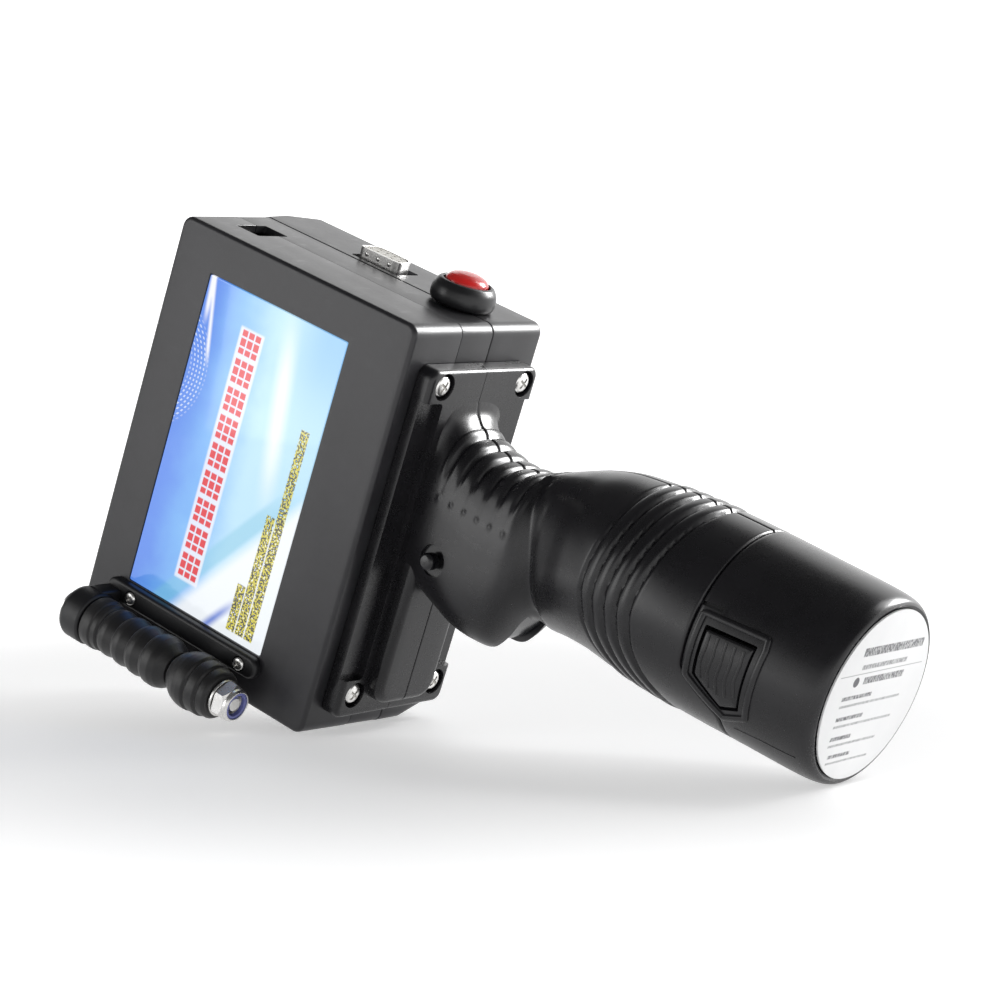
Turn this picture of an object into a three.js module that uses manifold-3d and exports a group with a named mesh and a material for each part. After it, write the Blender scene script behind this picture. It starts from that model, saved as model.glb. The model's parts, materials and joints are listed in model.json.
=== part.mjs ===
// Handheld date code inkjet printer with a pistol grip, lying at rest on a table.
// Everything is drawn in the printer's own axes and then laid down by one tilted group:
//   X runs from the print face (0) to the rear face with the ports,
//   Y runs from the display face (0) to the back,
//   Z runs from the handle face (0) to the far face, so the grip hangs along -Z.
// Millimetres throughout.
import * as THREE from "three";
import { mergeVertices } from "three/addons/utils/BufferGeometryUtils.js";
import Module from "manifold-3d";

const wasm = await Module();
wasm.setup();

// ---------------------------------------------------------------- main sizes
const WIDTH = 122.4;          // housing along X
const DEPTH = 58.2;           // housing along Y
const HEIGHT = 91.6;          // housing along Z
const MID = DEPTH / 2;        // mid-plane of the housing and of the grip
const WALL = 2.4;             // housing wall
const GAP = 0.3;              // clearance between neighbouring pieces
const EDGE = 3.5;             // radius of the long housing edges
const SEAM_FRONT = 21;        // joint between the front shell and the middle frame
const SEAM_REAR = 35;         // joint between the middle frame and the rear shell
const REST_TILT = THREE.MathUtils.degToRad(20.11);  // slope of the grip when lying down
const REST_SHIFT = [-43.79, -19.2, 0.78];  // puts the origin on the table, below the middle

// Display (4.3 inch, 16:9)
const SCREEN_X = 14.2;
const SCREEN_Z = 22;
const SCREEN_LONG = 95.04;
const SCREEN_SHORT = 53.86;

// Grip
const GRIP_X = 79.5;          // axis of the round lower grip
const GRIP_R = 27.2;
const BATTERY_TOP = -107.5;   // joint between the grip and the battery base
const BATTERY_END = -149.2;   // labelled end face of the battery
const STEM_R = 21.2;          // battery stem that slides up inside the grip
const STEM_TOP = -72;
const BAY_R = 22;             // bay in the grip that takes the stem
const BAY_TOP = -70;
const FLANGE = 5.8;           // thickness of the handle's mounting flange

// Guide roller axis, parallel to Z, just in front of the display face
const ROLLER_X = 2.3;
const ROLLER_Y = -11;

// Ink cartridge bay, open towards the far face
const BAY = { x: [3.2, 80.4], y: [20.4, 54.6], z: 30 };

// ---------------------------------------------------------------- materials
const material = (color, roughness, metalness = 0) =>
  new THREE.MeshStandardMaterial({ color, roughness, metalness });
const BLACK_SATIN = 0x2b2b2f;
const BLACK_GRIP = 0x232226;
const BLACK_GLOSS = 0x1c1c1f;
const RUBBER = 0x242327;
const STEEL = 0xc9c9cc;
const BOARD = 0x1f5a3a;

// ---------------------------------------------------------------- solid helpers
function solid(geometry) {
  const bare = geometry.index ? geometry.toNonIndexed() : geometry.clone();
  for (const name of ["normal", "uv", "uv1"]) {
    if (bare.getAttribute(name)) bare.deleteAttribute(name);
  }
  const merged = mergeVertices(bare, 1e-4);
  return new wasm.Manifold(new wasm.Mesh({
    numProp: 3,
    vertProperties: new Float32Array(merged.getAttribute("position").array),
    triVerts: new Uint32Array(merged.index.array),
  }));
}

function box(x0, x1, y0, y1, z0, z1) {
  const geometry = new THREE.BoxGeometry(x1 - x0, y1 - y0, z1 - z0);
  geometry.translate((x0 + x1) / 2, (y0 + y1) / 2, (z0 + z1) / 2);
  return solid(geometry);
}

// A lathed body about an axis of the printer; profile holds [radius, distance along the axis]
// in either direction, and is turned so that its faces point out.
function lathe(axis, centre, profile, segments = 32) {
  const turn = (points) => {
    const geometry = new THREE.LatheGeometry(points, segments);
    if (axis === "x") geometry.rotateZ(-Math.PI / 2);
    if (axis === "z") geometry.rotateX(Math.PI / 2);
    geometry.translate(...centre);
    return solid(geometry);
  };
  const points = profile.map(([r, h]) => new THREE.Vector2(r, h));
  const body = turn(points);
  return body.volume() > 0 ? body : turn(points.reverse());
}

// A plain round bar between two distances along its axis.
function rod(axis, centre, radius, from, to, segments = 28) {
  return lathe(axis, centre, [[0, from], [radius, from], [radius, to], [0, to]], segments);
}

// A rounded rectangle as a shape with true arcs at its corners.
function roundedRect(u0, u1, v0, v1, r) {
  const shape = new THREE.Shape();
  shape.moveTo(u0 + r, v0);
  shape.lineTo(u1 - r, v0);
  shape.absarc(u1 - r, v0 + r, r, -Math.PI / 2, 0);
  shape.lineTo(u1, v1 - r);
  shape.absarc(u1 - r, v1 - r, r, 0, Math.PI / 2);
  shape.lineTo(u0 + r, v1);
  shape.absarc(u0 + r, v1 - r, r, Math.PI / 2, Math.PI);
  shape.lineTo(u0, v0 + r);
  shape.absarc(u0 + r, v0 + r, r, Math.PI, 1.5 * Math.PI);
  return shape;
}

// Shape drawn in X and Z, extruded along Y between two depths, with an optional bevel.
function extrudeY(shape, y0, y1, bevel = 0, curveSegments = 6) {
  const geometry = new THREE.ExtrudeGeometry(shape, {
    depth: y1 - y0 - 2 * bevel,
    bevelEnabled: bevel > 0,
    bevelThickness: bevel,
    bevelSize: bevel,
    bevelOffset: -bevel,
    bevelSegments: 2,
    curveSegments,
  });
  geometry.rotateX(Math.PI / 2);
  geometry.translate(0, y1 - bevel, 0);
  return solid(geometry);
}

// Shape drawn in X and Y, extruded along Z between two heights, with an optional bevel.
function extrudeZ(shape, z0, z1, bevel = 0, curveSegments = 6) {
  const geometry = new THREE.ExtrudeGeometry(shape, {
    depth: z1 - z0 - 2 * bevel,
    bevelEnabled: bevel > 0,
    bevelThickness: bevel,
    bevelSize: bevel,
    bevelOffset: -bevel,
    bevelSegments: 2,
    curveSegments,
  });
  geometry.translate(0, 0, z0 + bevel);
  return solid(geometry);
}

// Shape drawn in Y and Z, extruded along X between two distances.
function extrudeX(shape, x0, x1, curveSegments = 6) {
  const geometry = new THREE.ExtrudeGeometry(shape, {
    depth: x1 - x0,
    bevelEnabled: false,
    curveSegments,
  });
  geometry.applyMatrix4(new THREE.Matrix4().makeBasis(
    new THREE.Vector3(0, 1, 0),
    new THREE.Vector3(0, 0, 1),
    new THREE.Vector3(1, 0, 0),
  ));
  geometry.translate(x0, 0, 0);
  return solid(geometry);
}

// Closed loft through rings at rising levels; ring(level, angle) returns the point of the wall.
function loft(levels, ring, segments) {
  const positions = [];
  const index = [];
  for (const z of levels) {
    for (let k = 0; k < segments; k += 1) {
      const [x, y] = ring(z, (2 * Math.PI * k) / segments);
      positions.push(x, y, z);
    }
  }
  const last = levels.length - 1;
  for (let i = 0; i < last; i += 1) {
    for (let k = 0; k < segments; k += 1) {
      const a = i * segments + k;
      const b = i * segments + ((k + 1) % segments);
      index.push(a, b, b + segments, a, b + segments, a + segments);
    }
  }
  for (let k = 1; k < segments - 1; k += 1) {
    index.push(0, k + 1, k);
    index.push(last * segments, last * segments + k, last * segments + k + 1);
  }
  const geometry = new THREE.BufferGeometry();
  geometry.setAttribute("position", new THREE.Float32BufferAttribute(positions, 3));
  geometry.setIndex(index);
  const body = solid(geometry);
  if (body.volume() > 0) return body;
  geometry.setIndex(index.reverse());
  return solid(geometry);
}

// ---------------------------------------------------------------- assembly
const printer = new THREE.Group();
printer.name = "printer_axes";
printer.rotation.y = REST_TILT - Math.PI / 2;
printer.position.set(...REST_SHIFT);

function add(name, body, color, roughness, metalness = 0) {
  const raw = body.getMesh();
  const geometry = new THREE.BufferGeometry();
  const stride = raw.numProp;
  const positions = new Float32Array((raw.vertProperties.length / stride) * 3);
  for (let i = 0; i < positions.length / 3; i += 1) {
    positions.set(raw.vertProperties.slice(i * stride, i * stride + 3), i * 3);
  }
  geometry.setAttribute("position", new THREE.BufferAttribute(positions, 3));
  geometry.setIndex(new THREE.BufferAttribute(new Uint32Array(raw.triVerts), 1));
  geometry.computeVertexNormals();
  const mesh = new THREE.Mesh(geometry, material(color, roughness, metalness));
  mesh.name = name;
  printer.add(mesh);
}

// ---------------------------------------------------------------- housing
// The outer block, lofted from the display face to the back. Each section is a rounded
// rectangle; the far face swells slightly towards the back, and the back is chamfered where
// it meets the print face and the far face.
const HOUSING_SECTIONS = [
  // depth, low X, high X, low Z, high Z
  [0, -0.3, WIDTH - 0.7, 0.7, HEIGHT - 0.7],
  [0.7, -1, WIDTH, 0, HEIGHT],
  [35, -1.8, WIDTH, 0, HEIGHT + 1.6],
  [45, -1.8, WIDTH, 0, HEIGHT + 3.2],
  [57.4, 2.6, WIDTH, 0, HEIGHT + 0.2],
  [DEPTH, 3.4, WIDTH - 0.8, 0.8, HEIGHT - 0.6],
];

function housingBlock(inset) {
  const corner = Math.max(EDGE - inset, 1.2);
  const arc = 5;
  const first = HOUSING_SECTIONS[0][0] + inset;
  const last = DEPTH - inset;
  const sections = inset > 0
    ? [[first, -1, WIDTH, 0, HEIGHT], ...HOUSING_SECTIONS.slice(2, 4),
      [last, 2, WIDTH, 0, HEIGHT + 0.4]]
    : HOUSING_SECTIONS;
  const centres = [[1, 1], [-1, 1], [-1, -1], [1, -1]];
  const levels = sections.map(([y]) => y);
  return loft(levels, (y, angle) => {
    const [, x0, x1, z0, z1] = sections[levels.indexOf(y)];
    const k = Math.round((angle / (2 * Math.PI)) * 4 * (arc + 1));
    const quarter = Math.floor(k / (arc + 1));
    const turn = ((quarter + (k % (arc + 1)) / arc) * Math.PI) / 2;
    const [sx, sz] = centres[quarter];
    const cx = sx > 0 ? x1 - inset - corner : x0 + inset + corner;
    const cz = sz > 0 ? z1 - inset - corner : z0 + inset + corner;
    return [cx + corner * Math.cos(turn), -(cz + corner * Math.sin(turn))];
  }, 4 * (arc + 1)).rotate([-90, 0, 0]);
}

const outer = housingBlock(0);
const hollow = outer.subtract(housingBlock(WALL));

// Cut-outs shared by the three shells.
const portCuts = [
  box(WIDTH - 6, WIDTH + 3, 12.1, 24.9, 72.9, 82.1),                 // USB opening
  box(WIDTH - 6, WIDTH + 3, 37.3, 47.9, 40.5, 58.6),                 // serial port opening
  rod("x", [0, 38.5, 16.5], 6.4, WIDTH - 6, WIDTH + 3),              // push button hole
  box(BAY.x[0] - 0.6, BAY.x[1] + 0.6, BAY.y[0] - 0.6, BAY.y[1] + 0.6, BAY.z, HEIGHT + 10),
  box(-5, 5, 27.4, 44.6, 46, HEIGHT + 10),                           // slot for the print head
  rod("z", [72, 28, 0], 4.6, -3, 6),                                 // wire hole to the grip
];
const shellBody = portCuts.reduce((body, cut) => body.subtract(cut), hollow);

const windowCut = box(
  SCREEN_X - 0.5, SCREEN_X + SCREEN_LONG + 0.5, -1, WALL + 1,
  SCREEN_Z - 0.5, SCREEN_Z + SCREEN_SHORT + 0.5,
);
add("front_shell", shellBody
  .intersect(box(-5, WIDTH + 5, -5, SEAM_FRONT - GAP / 2, -5, HEIGHT + 9))
  .subtract(windowCut), BLACK_SATIN, 0.42);
add("middle_frame", shellBody.intersect(
  box(-5, WIDTH + 5, SEAM_FRONT + GAP / 2, SEAM_REAR - GAP / 2, -5, HEIGHT + 9),
), BLACK_SATIN, 0.42);
add("rear_shell", shellBody.intersect(
  box(-5, WIDTH + 5, SEAM_REAR + GAP / 2, DEPTH + 5, -5, HEIGHT + 9),
), BLACK_SATIN, 0.42);

// ---------------------------------------------------------------- display and boards
add("display_panel", box(
  SCREEN_X - 0.2, SCREEN_X + SCREEN_LONG + 0.2, 0.2, 2.2,
  SCREEN_Z - 0.2, SCREEN_Z + SCREEN_SHORT + 0.2,
), 0xbfdcf5, 0.2);
add("display_module", box(11.5, 112, WALL + 0.3, 7.2, 16, 80), 0xa9adb2, 0.45, 0.6);
add("main_board", box(9, 113, 10, 11.6, 8, 84), BOARD, 0.6);
add("board_processor", box(40, 54, 11.9, 13.6, 40, 54), 0x1a1a1c, 0.5);

// ---------------------------------------------------------------- ports on the rear face
const usbOuter = box(106, WIDTH - 2.9, 12.4, 24.6, 74.9, 80.1);
add("usb_socket", usbOuter.subtract(box(108, WIDTH, 12.8, 24.2, 75.3, 79.7)), STEEL, 0.3, 0.9);
add("usb_tongue", box(108.3, WIDTH - 4.5, 13.3, 23.7, 77.9, 79.4), 0x17171a, 0.5);

const dShape = (grow) => {
  const shape = new THREE.Shape();
  const half = 8.2 + grow;
  const low = 3.95 + grow;
  shape.moveTo(-low, -half + 2);
  shape.quadraticCurveTo(-low, -half, -low + 2, -half);
  shape.lineTo(low - 2.2, -half + 1);
  shape.quadraticCurveTo(low, -half + 1.2, low, -half + 3);
  shape.lineTo(low, half - 3);
  shape.quadraticCurveTo(low, half - 1.2, low - 2.2, half - 1);
  shape.lineTo(-low + 2, half);
  shape.quadraticCurveTo(-low, half, -low, half - 2);
  return shape;
};
const dBar = (grow, x0, x1) => extrudeX(dShape(grow), x0, x1, 4).translate([0, 42.6, 49.55]);
add("serial_port_shell", dBar(0, WIDTH - 3.3, WIDTH + 3.2).subtract(
  dBar(-0.7, WIDTH - 8, WIDTH + 8),
).add(box(WIDTH - 4.4, WIDTH - 3, 36.6, 48.6, 41, 58.1).subtract(
  dBar(-0.7, WIDTH - 8, WIDTH + 2),
)), STEEL, 0.28, 0.95);
const pinHole = (k, row, count) => rod(
  "x", [0, 42.6 + row, 49.55 + (k - (count - 1) / 2) * 2.74], 0.5, WIDTH - 1.5, WIDTH + 8, 8,
);
let insert = dBar(-1.05, WIDTH - 9, WIDTH + 2.4);
for (let k = 0; k < 5; k += 1) insert = insert.subtract(pinHole(k, -1.4, 5));
for (let k = 0; k < 4; k += 1) insert = insert.subtract(pinHole(k, 1.4, 4));
add("serial_port_insert", insert, 0xd9d6cc, 0.5);

// Push button with a domed red cap in a rounded black bezel.
const BUTTON = [0, 38.5, 16.5];
add("button_bezel", lathe("x", [WIDTH + 0.25, BUTTON[1], BUTTON[2]], [
  [6.9, 0], [8.6, 0], [9.3, 0.8], [9.5, 2.6], [9.2, 4.6], [8.5, 6.2], [7.6, 6.9], [6.9, 6.7],
  [6.9, 0],
], 32), 0x242528, 0.45);
add("red_button_cap", lathe("x", [WIDTH, BUTTON[1], BUTTON[2]], [
  [0, -5], [2.2, -5], [2.2, 3.2], [6.2, 3.2], [6.35, 6.8], [6.1, 7.7], [5, 8.7], [3, 9.4], [0, 9.7],
], 28), 0xd8252c, 0.3);
add("button_switch_body", lathe("x", [WIDTH, BUTTON[1], BUTTON[2]], [
  [2.6, 0.4], [2.6, -8.6], [0, -8.6], [0, -22], [5.6, -22], [5.6, -7.2], [5.9, -7.2], [5.9, 0.4],
  [2.6, 0.4],
], 28), 0x1d1d20, 0.5);
const lockX = [WIDTH - WALL - 0.3, BUTTON[1], BUTTON[2]];
add("button_lock_nut", lathe("x", lockX, [[0, -2.6], [8.8, -2.6], [8.8, 0], [0, 0]], 6)
  .subtract(rod("x", lockX, 6.2, -5, 5)), STEEL, 0.35, 0.9);

// ---------------------------------------------------------------- handle
// Sections of the handle at each height: its T side faces the rear, its B side the print face.
const STATIONS = [
  // z,     x of T side, x of B side, half depth, squareness
  [-3, 98, 45, 14, 3],
  [-8, 96, 46.6, 14.5, 3],
  [-16, 92.9, 44.4, 15.3, 3],
  [-25, 91, 41.6, 16.2, 3],
  [-34, 92, 41.1, 16.8, 3],
  [-39.5, 94.4, 42.1, 17, 2.8],
  [-43, 96.4, 46.4, 16.5, 2.6],
  [-45.5, 97.6, 51.8, 16, 2.4],
  [-48, 98.8, 54.4, 16, 2.3],
  [-54, 101.4, 54, 18.2, 2.2],
  [-62, 103.9, 54.7, 22, 2.1],
  [-70, 105.1, 54.6, 24.6, 2],
  [-80, 106, 53.6, 26.4, 2],
  [-92, 106.6, 52.7, 27.1, 2],
  [-108, 106.8, 52.3, 27.2, 2],
  [-125, 106.6, 52.4, 27.2, 2],
  [-140, 106.4, 52.4, 27.1, 2],
  [-146, 106, 52.8, 26.8, 2],
  [-148.4, 105.2, 53.6, 26, 2],
  [BATTERY_END, 104.2, 54.6, 25, 2],
];

function stationAt(z) {
  let i = 0;
  while (i < STATIONS.length - 2 && z < STATIONS[i + 1][0]) i += 1;
  const a = STATIONS[i];
  const b = STATIONS[i + 1];
  const t = Math.min(1, Math.max(0, (z - a[0]) / (b[0] - a[0])));
  const before = STATIONS[Math.max(i - 1, 0)];
  const after = STATIONS[Math.min(i + 2, STATIONS.length - 1)];
  // Cubic through the stations, so the profile has no corners.
  return [1, 2, 3, 4].map((k) => {
    const m0 = ((b[k] - before[k]) / (b[0] - before[0] || 1)) * (b[0] - a[0]);
    const m1 = ((after[k] - a[k]) / (after[0] - a[0] || 1)) * (b[0] - a[0]);
    return (2 * t ** 3 - 3 * t ** 2 + 1) * a[k] + (t ** 3 - 2 * t ** 2 + t) * m0
      + (-2 * t ** 3 + 3 * t ** 2) * b[k] + (t ** 3 - t ** 2) * m1;
  });
}

// Grooves: six short ones round the rear of the neck, five round the swell of the grip.
const NECK_GROOVES = [0, 1, 2, 3, 4, 5].map((k) => -12.5 - 5 * k);
const GRIP_GROOVES = [0, 1, 2, 3, 4].map((k) => -73 - 5 * k);

function handleRing(inset, grooves) {
  return (z, angle) => {
    const [xT, xB, half, square] = stationAt(z);
    const cx = (xT + xB) / 2;
    const c = Math.cos(angle);
    const s = Math.sin(angle);
    const px = Math.sign(c) * Math.abs(c) ** (2 / square) * ((xT - xB) / 2 - inset);
    const py = Math.sign(s) * Math.abs(s) ** (2 / square) * (half - inset);
    let depth = 0;
    if (grooves) {
      if (c > 0.35 && NECK_GROOVES.some((g) => Math.abs(g - z) < 0.1)) depth = 0.9;
      if (GRIP_GROOVES.some((g) => Math.abs(g - z) < 0.1)) depth = 0.7;
    }
    const shrink = 1 - depth / Math.hypot(px, py);
    return [cx + px * shrink, MID + py * shrink];
  };
}

const handleLevels = [-3, -8, -41, -43.5, -45.5, -47.5, -51, -55, -61, -67, -98, BATTERY_TOP];
for (const z of [...NECK_GROOVES, ...GRIP_GROOVES]) {
  handleLevels.push(z - 1, z, z + 1);
}
handleLevels.sort((a, b) => a - b);
const SEGMENTS = 32;
const handleOuter = loft(handleLevels, handleRing(0, true), SEGMENTS);
const neckHollow = loft([-70.2, -62, -55, -48, -40, -30, -16, 2],
  handleRing(3.2, false), SEGMENTS);
const bayHollow = rod("z", [GRIP_X, MID, 0], BAY_R, BATTERY_TOP - 2, BAY_TOP, SEGMENTS);

// Mounting flange with rounded corners, a step down along each long side between the corner
// screws, and a raised foot that runs from the neck towards the print face.
const flangePlate = extrudeZ(roundedRect(6.2, 111.6, 5.6, DEPTH - 4.6, 3), -FLANGE, -GAP, 1.1)
  .subtract(box(18, 102, 3, 13.2, -FLANGE - 1, -FLANGE + 2.1))
  .subtract(box(18, 102, DEPTH - 13.2, DEPTH - 2, -FLANGE - 1, -FLANGE + 2.1));
const foot = extrudeZ(roundedRect(11, 60, 16.4, DEPTH - 16.4, 6), -10.5, -3, 1.4);
const handleBody = handleOuter.add(flangePlate).add(foot);

const SCREW_X = [13.2, 106.8];
const SCREW_Y = [11.8, DEPTH - 10.2];
let handleCut = handleBody.subtract(neckHollow).subtract(bayHollow);
for (const x of SCREW_X) {
  for (const y of SCREW_Y) {
    handleCut = handleCut.subtract(rod("z", [x, y, 0], 3.9, -FLANGE - 4, -FLANGE + 2.6, 24));
    handleCut = handleCut.subtract(rod("z", [x, y, 0], 1.7, -FLANGE - 1, 1, 16));
  }
}

// Power button recess and trigger opening.
const POWER = [59.4, 0, -16.6];
const TRIGGER_Z = [-46.6, -19];
handleCut = handleCut
  .subtract(rod("y", [POWER[0], 0, POWER[2]], 4.6, 8, 15.6, 28))
  .subtract(rod("y", [POWER[0], 0, POWER[2]], 2.1, 8, 22, 20))
  .subtract(box(30, 62, MID - 6.8, MID + 6.8, TRIGGER_Z[0] - 0.4, TRIGGER_Z[1] + 0.4));

add("handle_front_half", handleCut.intersect(
  box(-5, 130, -20, MID - GAP / 2, -120, 5),
), BLACK_GRIP, 0.38);
add("handle_rear_half", handleCut.intersect(
  box(-5, 130, MID + GAP / 2, DEPTH + 20, -120, 5),
), BLACK_GRIP, 0.38);

let screwCount = 0;
for (const x of SCREW_X) {
  for (const y of SCREW_Y) {
    screwCount += 1;
    const head = lathe("z", [x, y, -FLANGE + 2.4], [
      [0, 2], [1.4, 2], [1.4, 0], [3.1, 0], [3.1, -1.2], [2.4, -1.9], [0, -2.2],
    ], 24);
    const slotA = box(x - 1.7, x + 1.7, y - 0.35, y + 0.35, -FLANGE - 2, -FLANGE + 1.2);
    const slotB = box(x - 0.35, x + 0.35, y - 1.7, y + 1.7, -FLANGE - 2, -FLANGE + 1.2);
    add(`flange_screw_${screwCount}`, head.subtract(slotA).subtract(slotB), STEEL, 0.25, 0.95);
  }
}

// ---------------------------------------------------------------- trigger and power button
const triggerShape = new THREE.Shape();
triggerShape.moveTo(56.4, TRIGGER_Z[0]);
triggerShape.lineTo(50.6, TRIGGER_Z[0] + 3.4);
triggerShape.quadraticCurveTo(42.4, TRIGGER_Z[0] + 8, 41.4, TRIGGER_Z[0] + 14);
triggerShape.quadraticCurveTo(41, -28, 43.6, TRIGGER_Z[1]);
triggerShape.lineTo(56.4, TRIGGER_Z[1]);
add("trigger", extrudeY(triggerShape, MID - 6.4, MID + 6.4, 0.9, 7), BLACK_GLOSS, 0.25);
add("trigger_switch", box(62.6, 70, MID - 4, MID + 4, -38, -26), 0x1b1b1d, 0.5);
add("power_button", lathe("y", [POWER[0], 0, POWER[2]], [
  [0, 10.7], [1.9, 10.7], [2.5, 11.3], [2.5, 14.3], [1.8, 14.3], [1.8, 18.8], [0, 18.8],
], 28), BLACK_GLOSS, 0.3);
add("power_switch", box(POWER[0] - 4, POWER[0] + 4, 20.2, 22, POWER[2] - 4, POWER[2] + 4),
  0x1b1b1d, 0.5);

// ---------------------------------------------------------------- battery
const batteryLevels = [BATTERY_END, -148.4, -147.4, -146, -140, -125, BATTERY_TOP - GAP];
const base = loft(batteryLevels, handleRing(0, false), SEGMENTS);
const stem = rod("z", [GRIP_X, MID, 0], STEM_R, BATTERY_TOP - 2, STEM_TOP, 36);
const LATCH = { x: [66, 89], z: [-130.6, -109.6] };
const cellBore = rod("z", [GRIP_X, MID, 0], STEM_R - 1.2, BATTERY_END + 6.4, STEM_TOP - 1.5, 32);
let batteryCase = base.add(stem);
const latchPocket = (y0, y1) => box(
  LATCH.x[0] - 0.4, LATCH.x[1] + 0.4, y0, y1, LATCH.z[0] - 0.4, LATCH.z[1] + 0.4,
);
batteryCase = batteryCase
  .subtract(latchPocket(-5, 6.9))
  .subtract(latchPocket(DEPTH - 6.9, DEPTH + 5))
  .subtract(cellBore)
  .subtract(rod("z", [GRIP_X, MID, 0], STEM_R + 0.2, BATTERY_END - 2, BATTERY_END + 6.8, 36));
add("battery_case", batteryCase, BLACK_GRIP, 0.36);
add("battery_end_cap", rod("z", [GRIP_X, MID, 0], STEM_R - 0.1, BATTERY_END, BATTERY_END + 6.4 - GAP,
  36), BLACK_GRIP, 0.4);
add("battery_label", rod("z", [GRIP_X, MID, 0], 23.8, BATTERY_END - 0.5, BATTERY_END - 0.15, 40),
  0xf4f4f2, 0.4);
for (let k = 0; k < 3; k += 1) {
  const a = (k * 2 * Math.PI) / 3 + Math.PI / 2;
  add(`battery_cell_${k + 1}`, rod("z", [
    GRIP_X + 10.65 * Math.cos(a), MID + 10.65 * Math.sin(a), 0,
  ], 9.1, -138.6, -74.6, 20), 0x3f7fb5, 0.5);
}

// Two ridged release buttons, one on each side of the battery.
function latchBody(sign) {
  const wall = extrudeZ(roundedRect(LATCH.x[0], LATCH.x[1], 0.6, 5, 1.2), LATCH.z[0], LATCH.z[1]);
  const round = rod("z", [GRIP_X, MID, 0], GRIP_R + 0.4, -140, -100, 64);
  let body = wall.intersect(round);
  for (let k = 0; k < 4; k += 1) {
    const z = LATCH.z[1] - 4.2 - 4.1 * k;
    body = body.subtract(box(LATCH.x[0] + 3, LATCH.x[1] - 3, -2, 2.6, z - 0.5, z + 0.5));
  }
  return sign > 0 ? body : body.mirror([0, 1, 0]).translate([0, DEPTH, 0]);
}
add("latch_button_front", latchBody(1), BLACK_GRIP, 0.4);
add("latch_button_rear", latchBody(-1), BLACK_GRIP, 0.4);

// Spring contacts at the top of the grip's bay that meet the stem.
add("battery_contact_block", rod("z", [GRIP_X, MID, 0], 12, -69.6, -66, 24), 0x1d1d1f, 0.5);

// ---------------------------------------------------------------- guide roller
const R = [ROLLER_X, ROLLER_Y, -1];
const lug = lathe("z", R, [
  [0, 75.8], [7.6, 75.8], [8.1, 76.4], [8.1, 82.6], [7.2, 83.8], [0, 83.8],
], 28);
const strip = extrudeY(roundedRect(6.9, 13.4, 19.5, 82, 3.2), -2.8, -GAP, 0.8, 8);
const web = box(4.4, 10.8, -11, -1, 75.4, 81.4);
const BRACKET_SCREWS = [[9.8, 71.6], [9.8, 26.2]];
let bracket = lug.add(strip).add(web).subtract(rod("z", R, 3.25, 60, 100, 24));
for (const [x, z] of BRACKET_SCREWS) {
  bracket = bracket.subtract(rod("y", [x, 0, z], 2.2, -6, -1.6, 20));
}
add("roller_bracket", bracket, 0x222226, 0.42);
BRACKET_SCREWS.forEach(([x, z], k) => {
  add(`bracket_screw_${k + 1}`, lathe("y", [x, 0, z], [
    [0, -4.1], [1.2, -4.1], [2, -3.2], [2, -1.9], [0, -1.9],
  ], 20), STEEL, 0.25, 0.95);
});

add("roller_bolt", lathe("z", R, [
  [0, 86.6], [4.4, 86.6], [5, 86], [5, 84.1], [2.95, 84.1], [2.95, 18.3], [2.5, 17.8], [0, 17.8],
], 24), STEEL, 0.3, 0.95);

// Rubber sleeves: profile [distance along the axis, radius] from the lug to the nut.
function sleeve(profile, bore) {
  const points = profile.map(([z, r]) => [r, z]);
  points.push([bore, profile[profile.length - 1][0]], [bore, profile[0][0]]);
  points.push([profile[0][1], profile[0][0]]);
  return lathe("z", R, points, 26);
}
const longProfile = [[75.4, 6.9], [75, 7.7], [71.4, 7.7], [71, 7.2], [69.2, 7.2]];
for (const [groove, r] of [[68.6, 7.3], [62.6, 7.5], [56.5, 7.7], [50.4, 7.9]]) {
  longProfile.push([groove, r - 0.8], [groove - 0.7, r - 0.2], [groove - 3, r]);
}
longProfile.push([46.2, 7.9], [44.2, 7.2], [41.4, 5.2]);
add("long_roller", sleeve(longProfile, 3.3), RUBBER, 0.55);
add("short_roller", sleeve([
  [40.8, 5], [39.4, 6.4], [37.2, 7.7], [35.2, 8.4], [33.4, 8.6], [31.6, 8.5], [31, 7.7],
  [30.3, 8.2], [27.3, 8.1], [26.8, 7.2], [26.1, 7.5], [24.2, 7.3], [23.3, 6.6],
], 3.3), RUBBER, 0.55);
add("roller_washer", lathe("z", R, [
  [3.2, 22.1], [5.6, 22.1], [5.6, 23], [3.2, 23], [3.2, 22.1],
], 28), STEEL, 0.3, 0.95);
const nutHex = lathe("z", R, [[0, 21.8], [5.77, 21.8], [5.77, 18.2], [0, 18.2]], 6);
const nutCone = lathe("z", R, [
  [0, 21.8], [5.5, 21.8], [6.4, 21.2], [6.4, 19.2], [4.9, 17.8], [4.7, 16.6], [0, 16.6],
], 32);
add("lock_nut", nutHex.add(rod("z", R, 4.9, 16.8, 19, 32)).intersect(nutCone)
  .subtract(rod("z", R, 3.2, 15, 26, 24)).subtract(rod("z", R, 4.2, 15, 18.6, 24)),
STEEL, 0.22, 0.95);
add("nut_insert", lathe("z", R, [
  [3.15, 17], [4, 17], [4, 18.4], [3.15, 18.4], [3.15, 17],
], 24), 0x8f92c4, 0.45);

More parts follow.
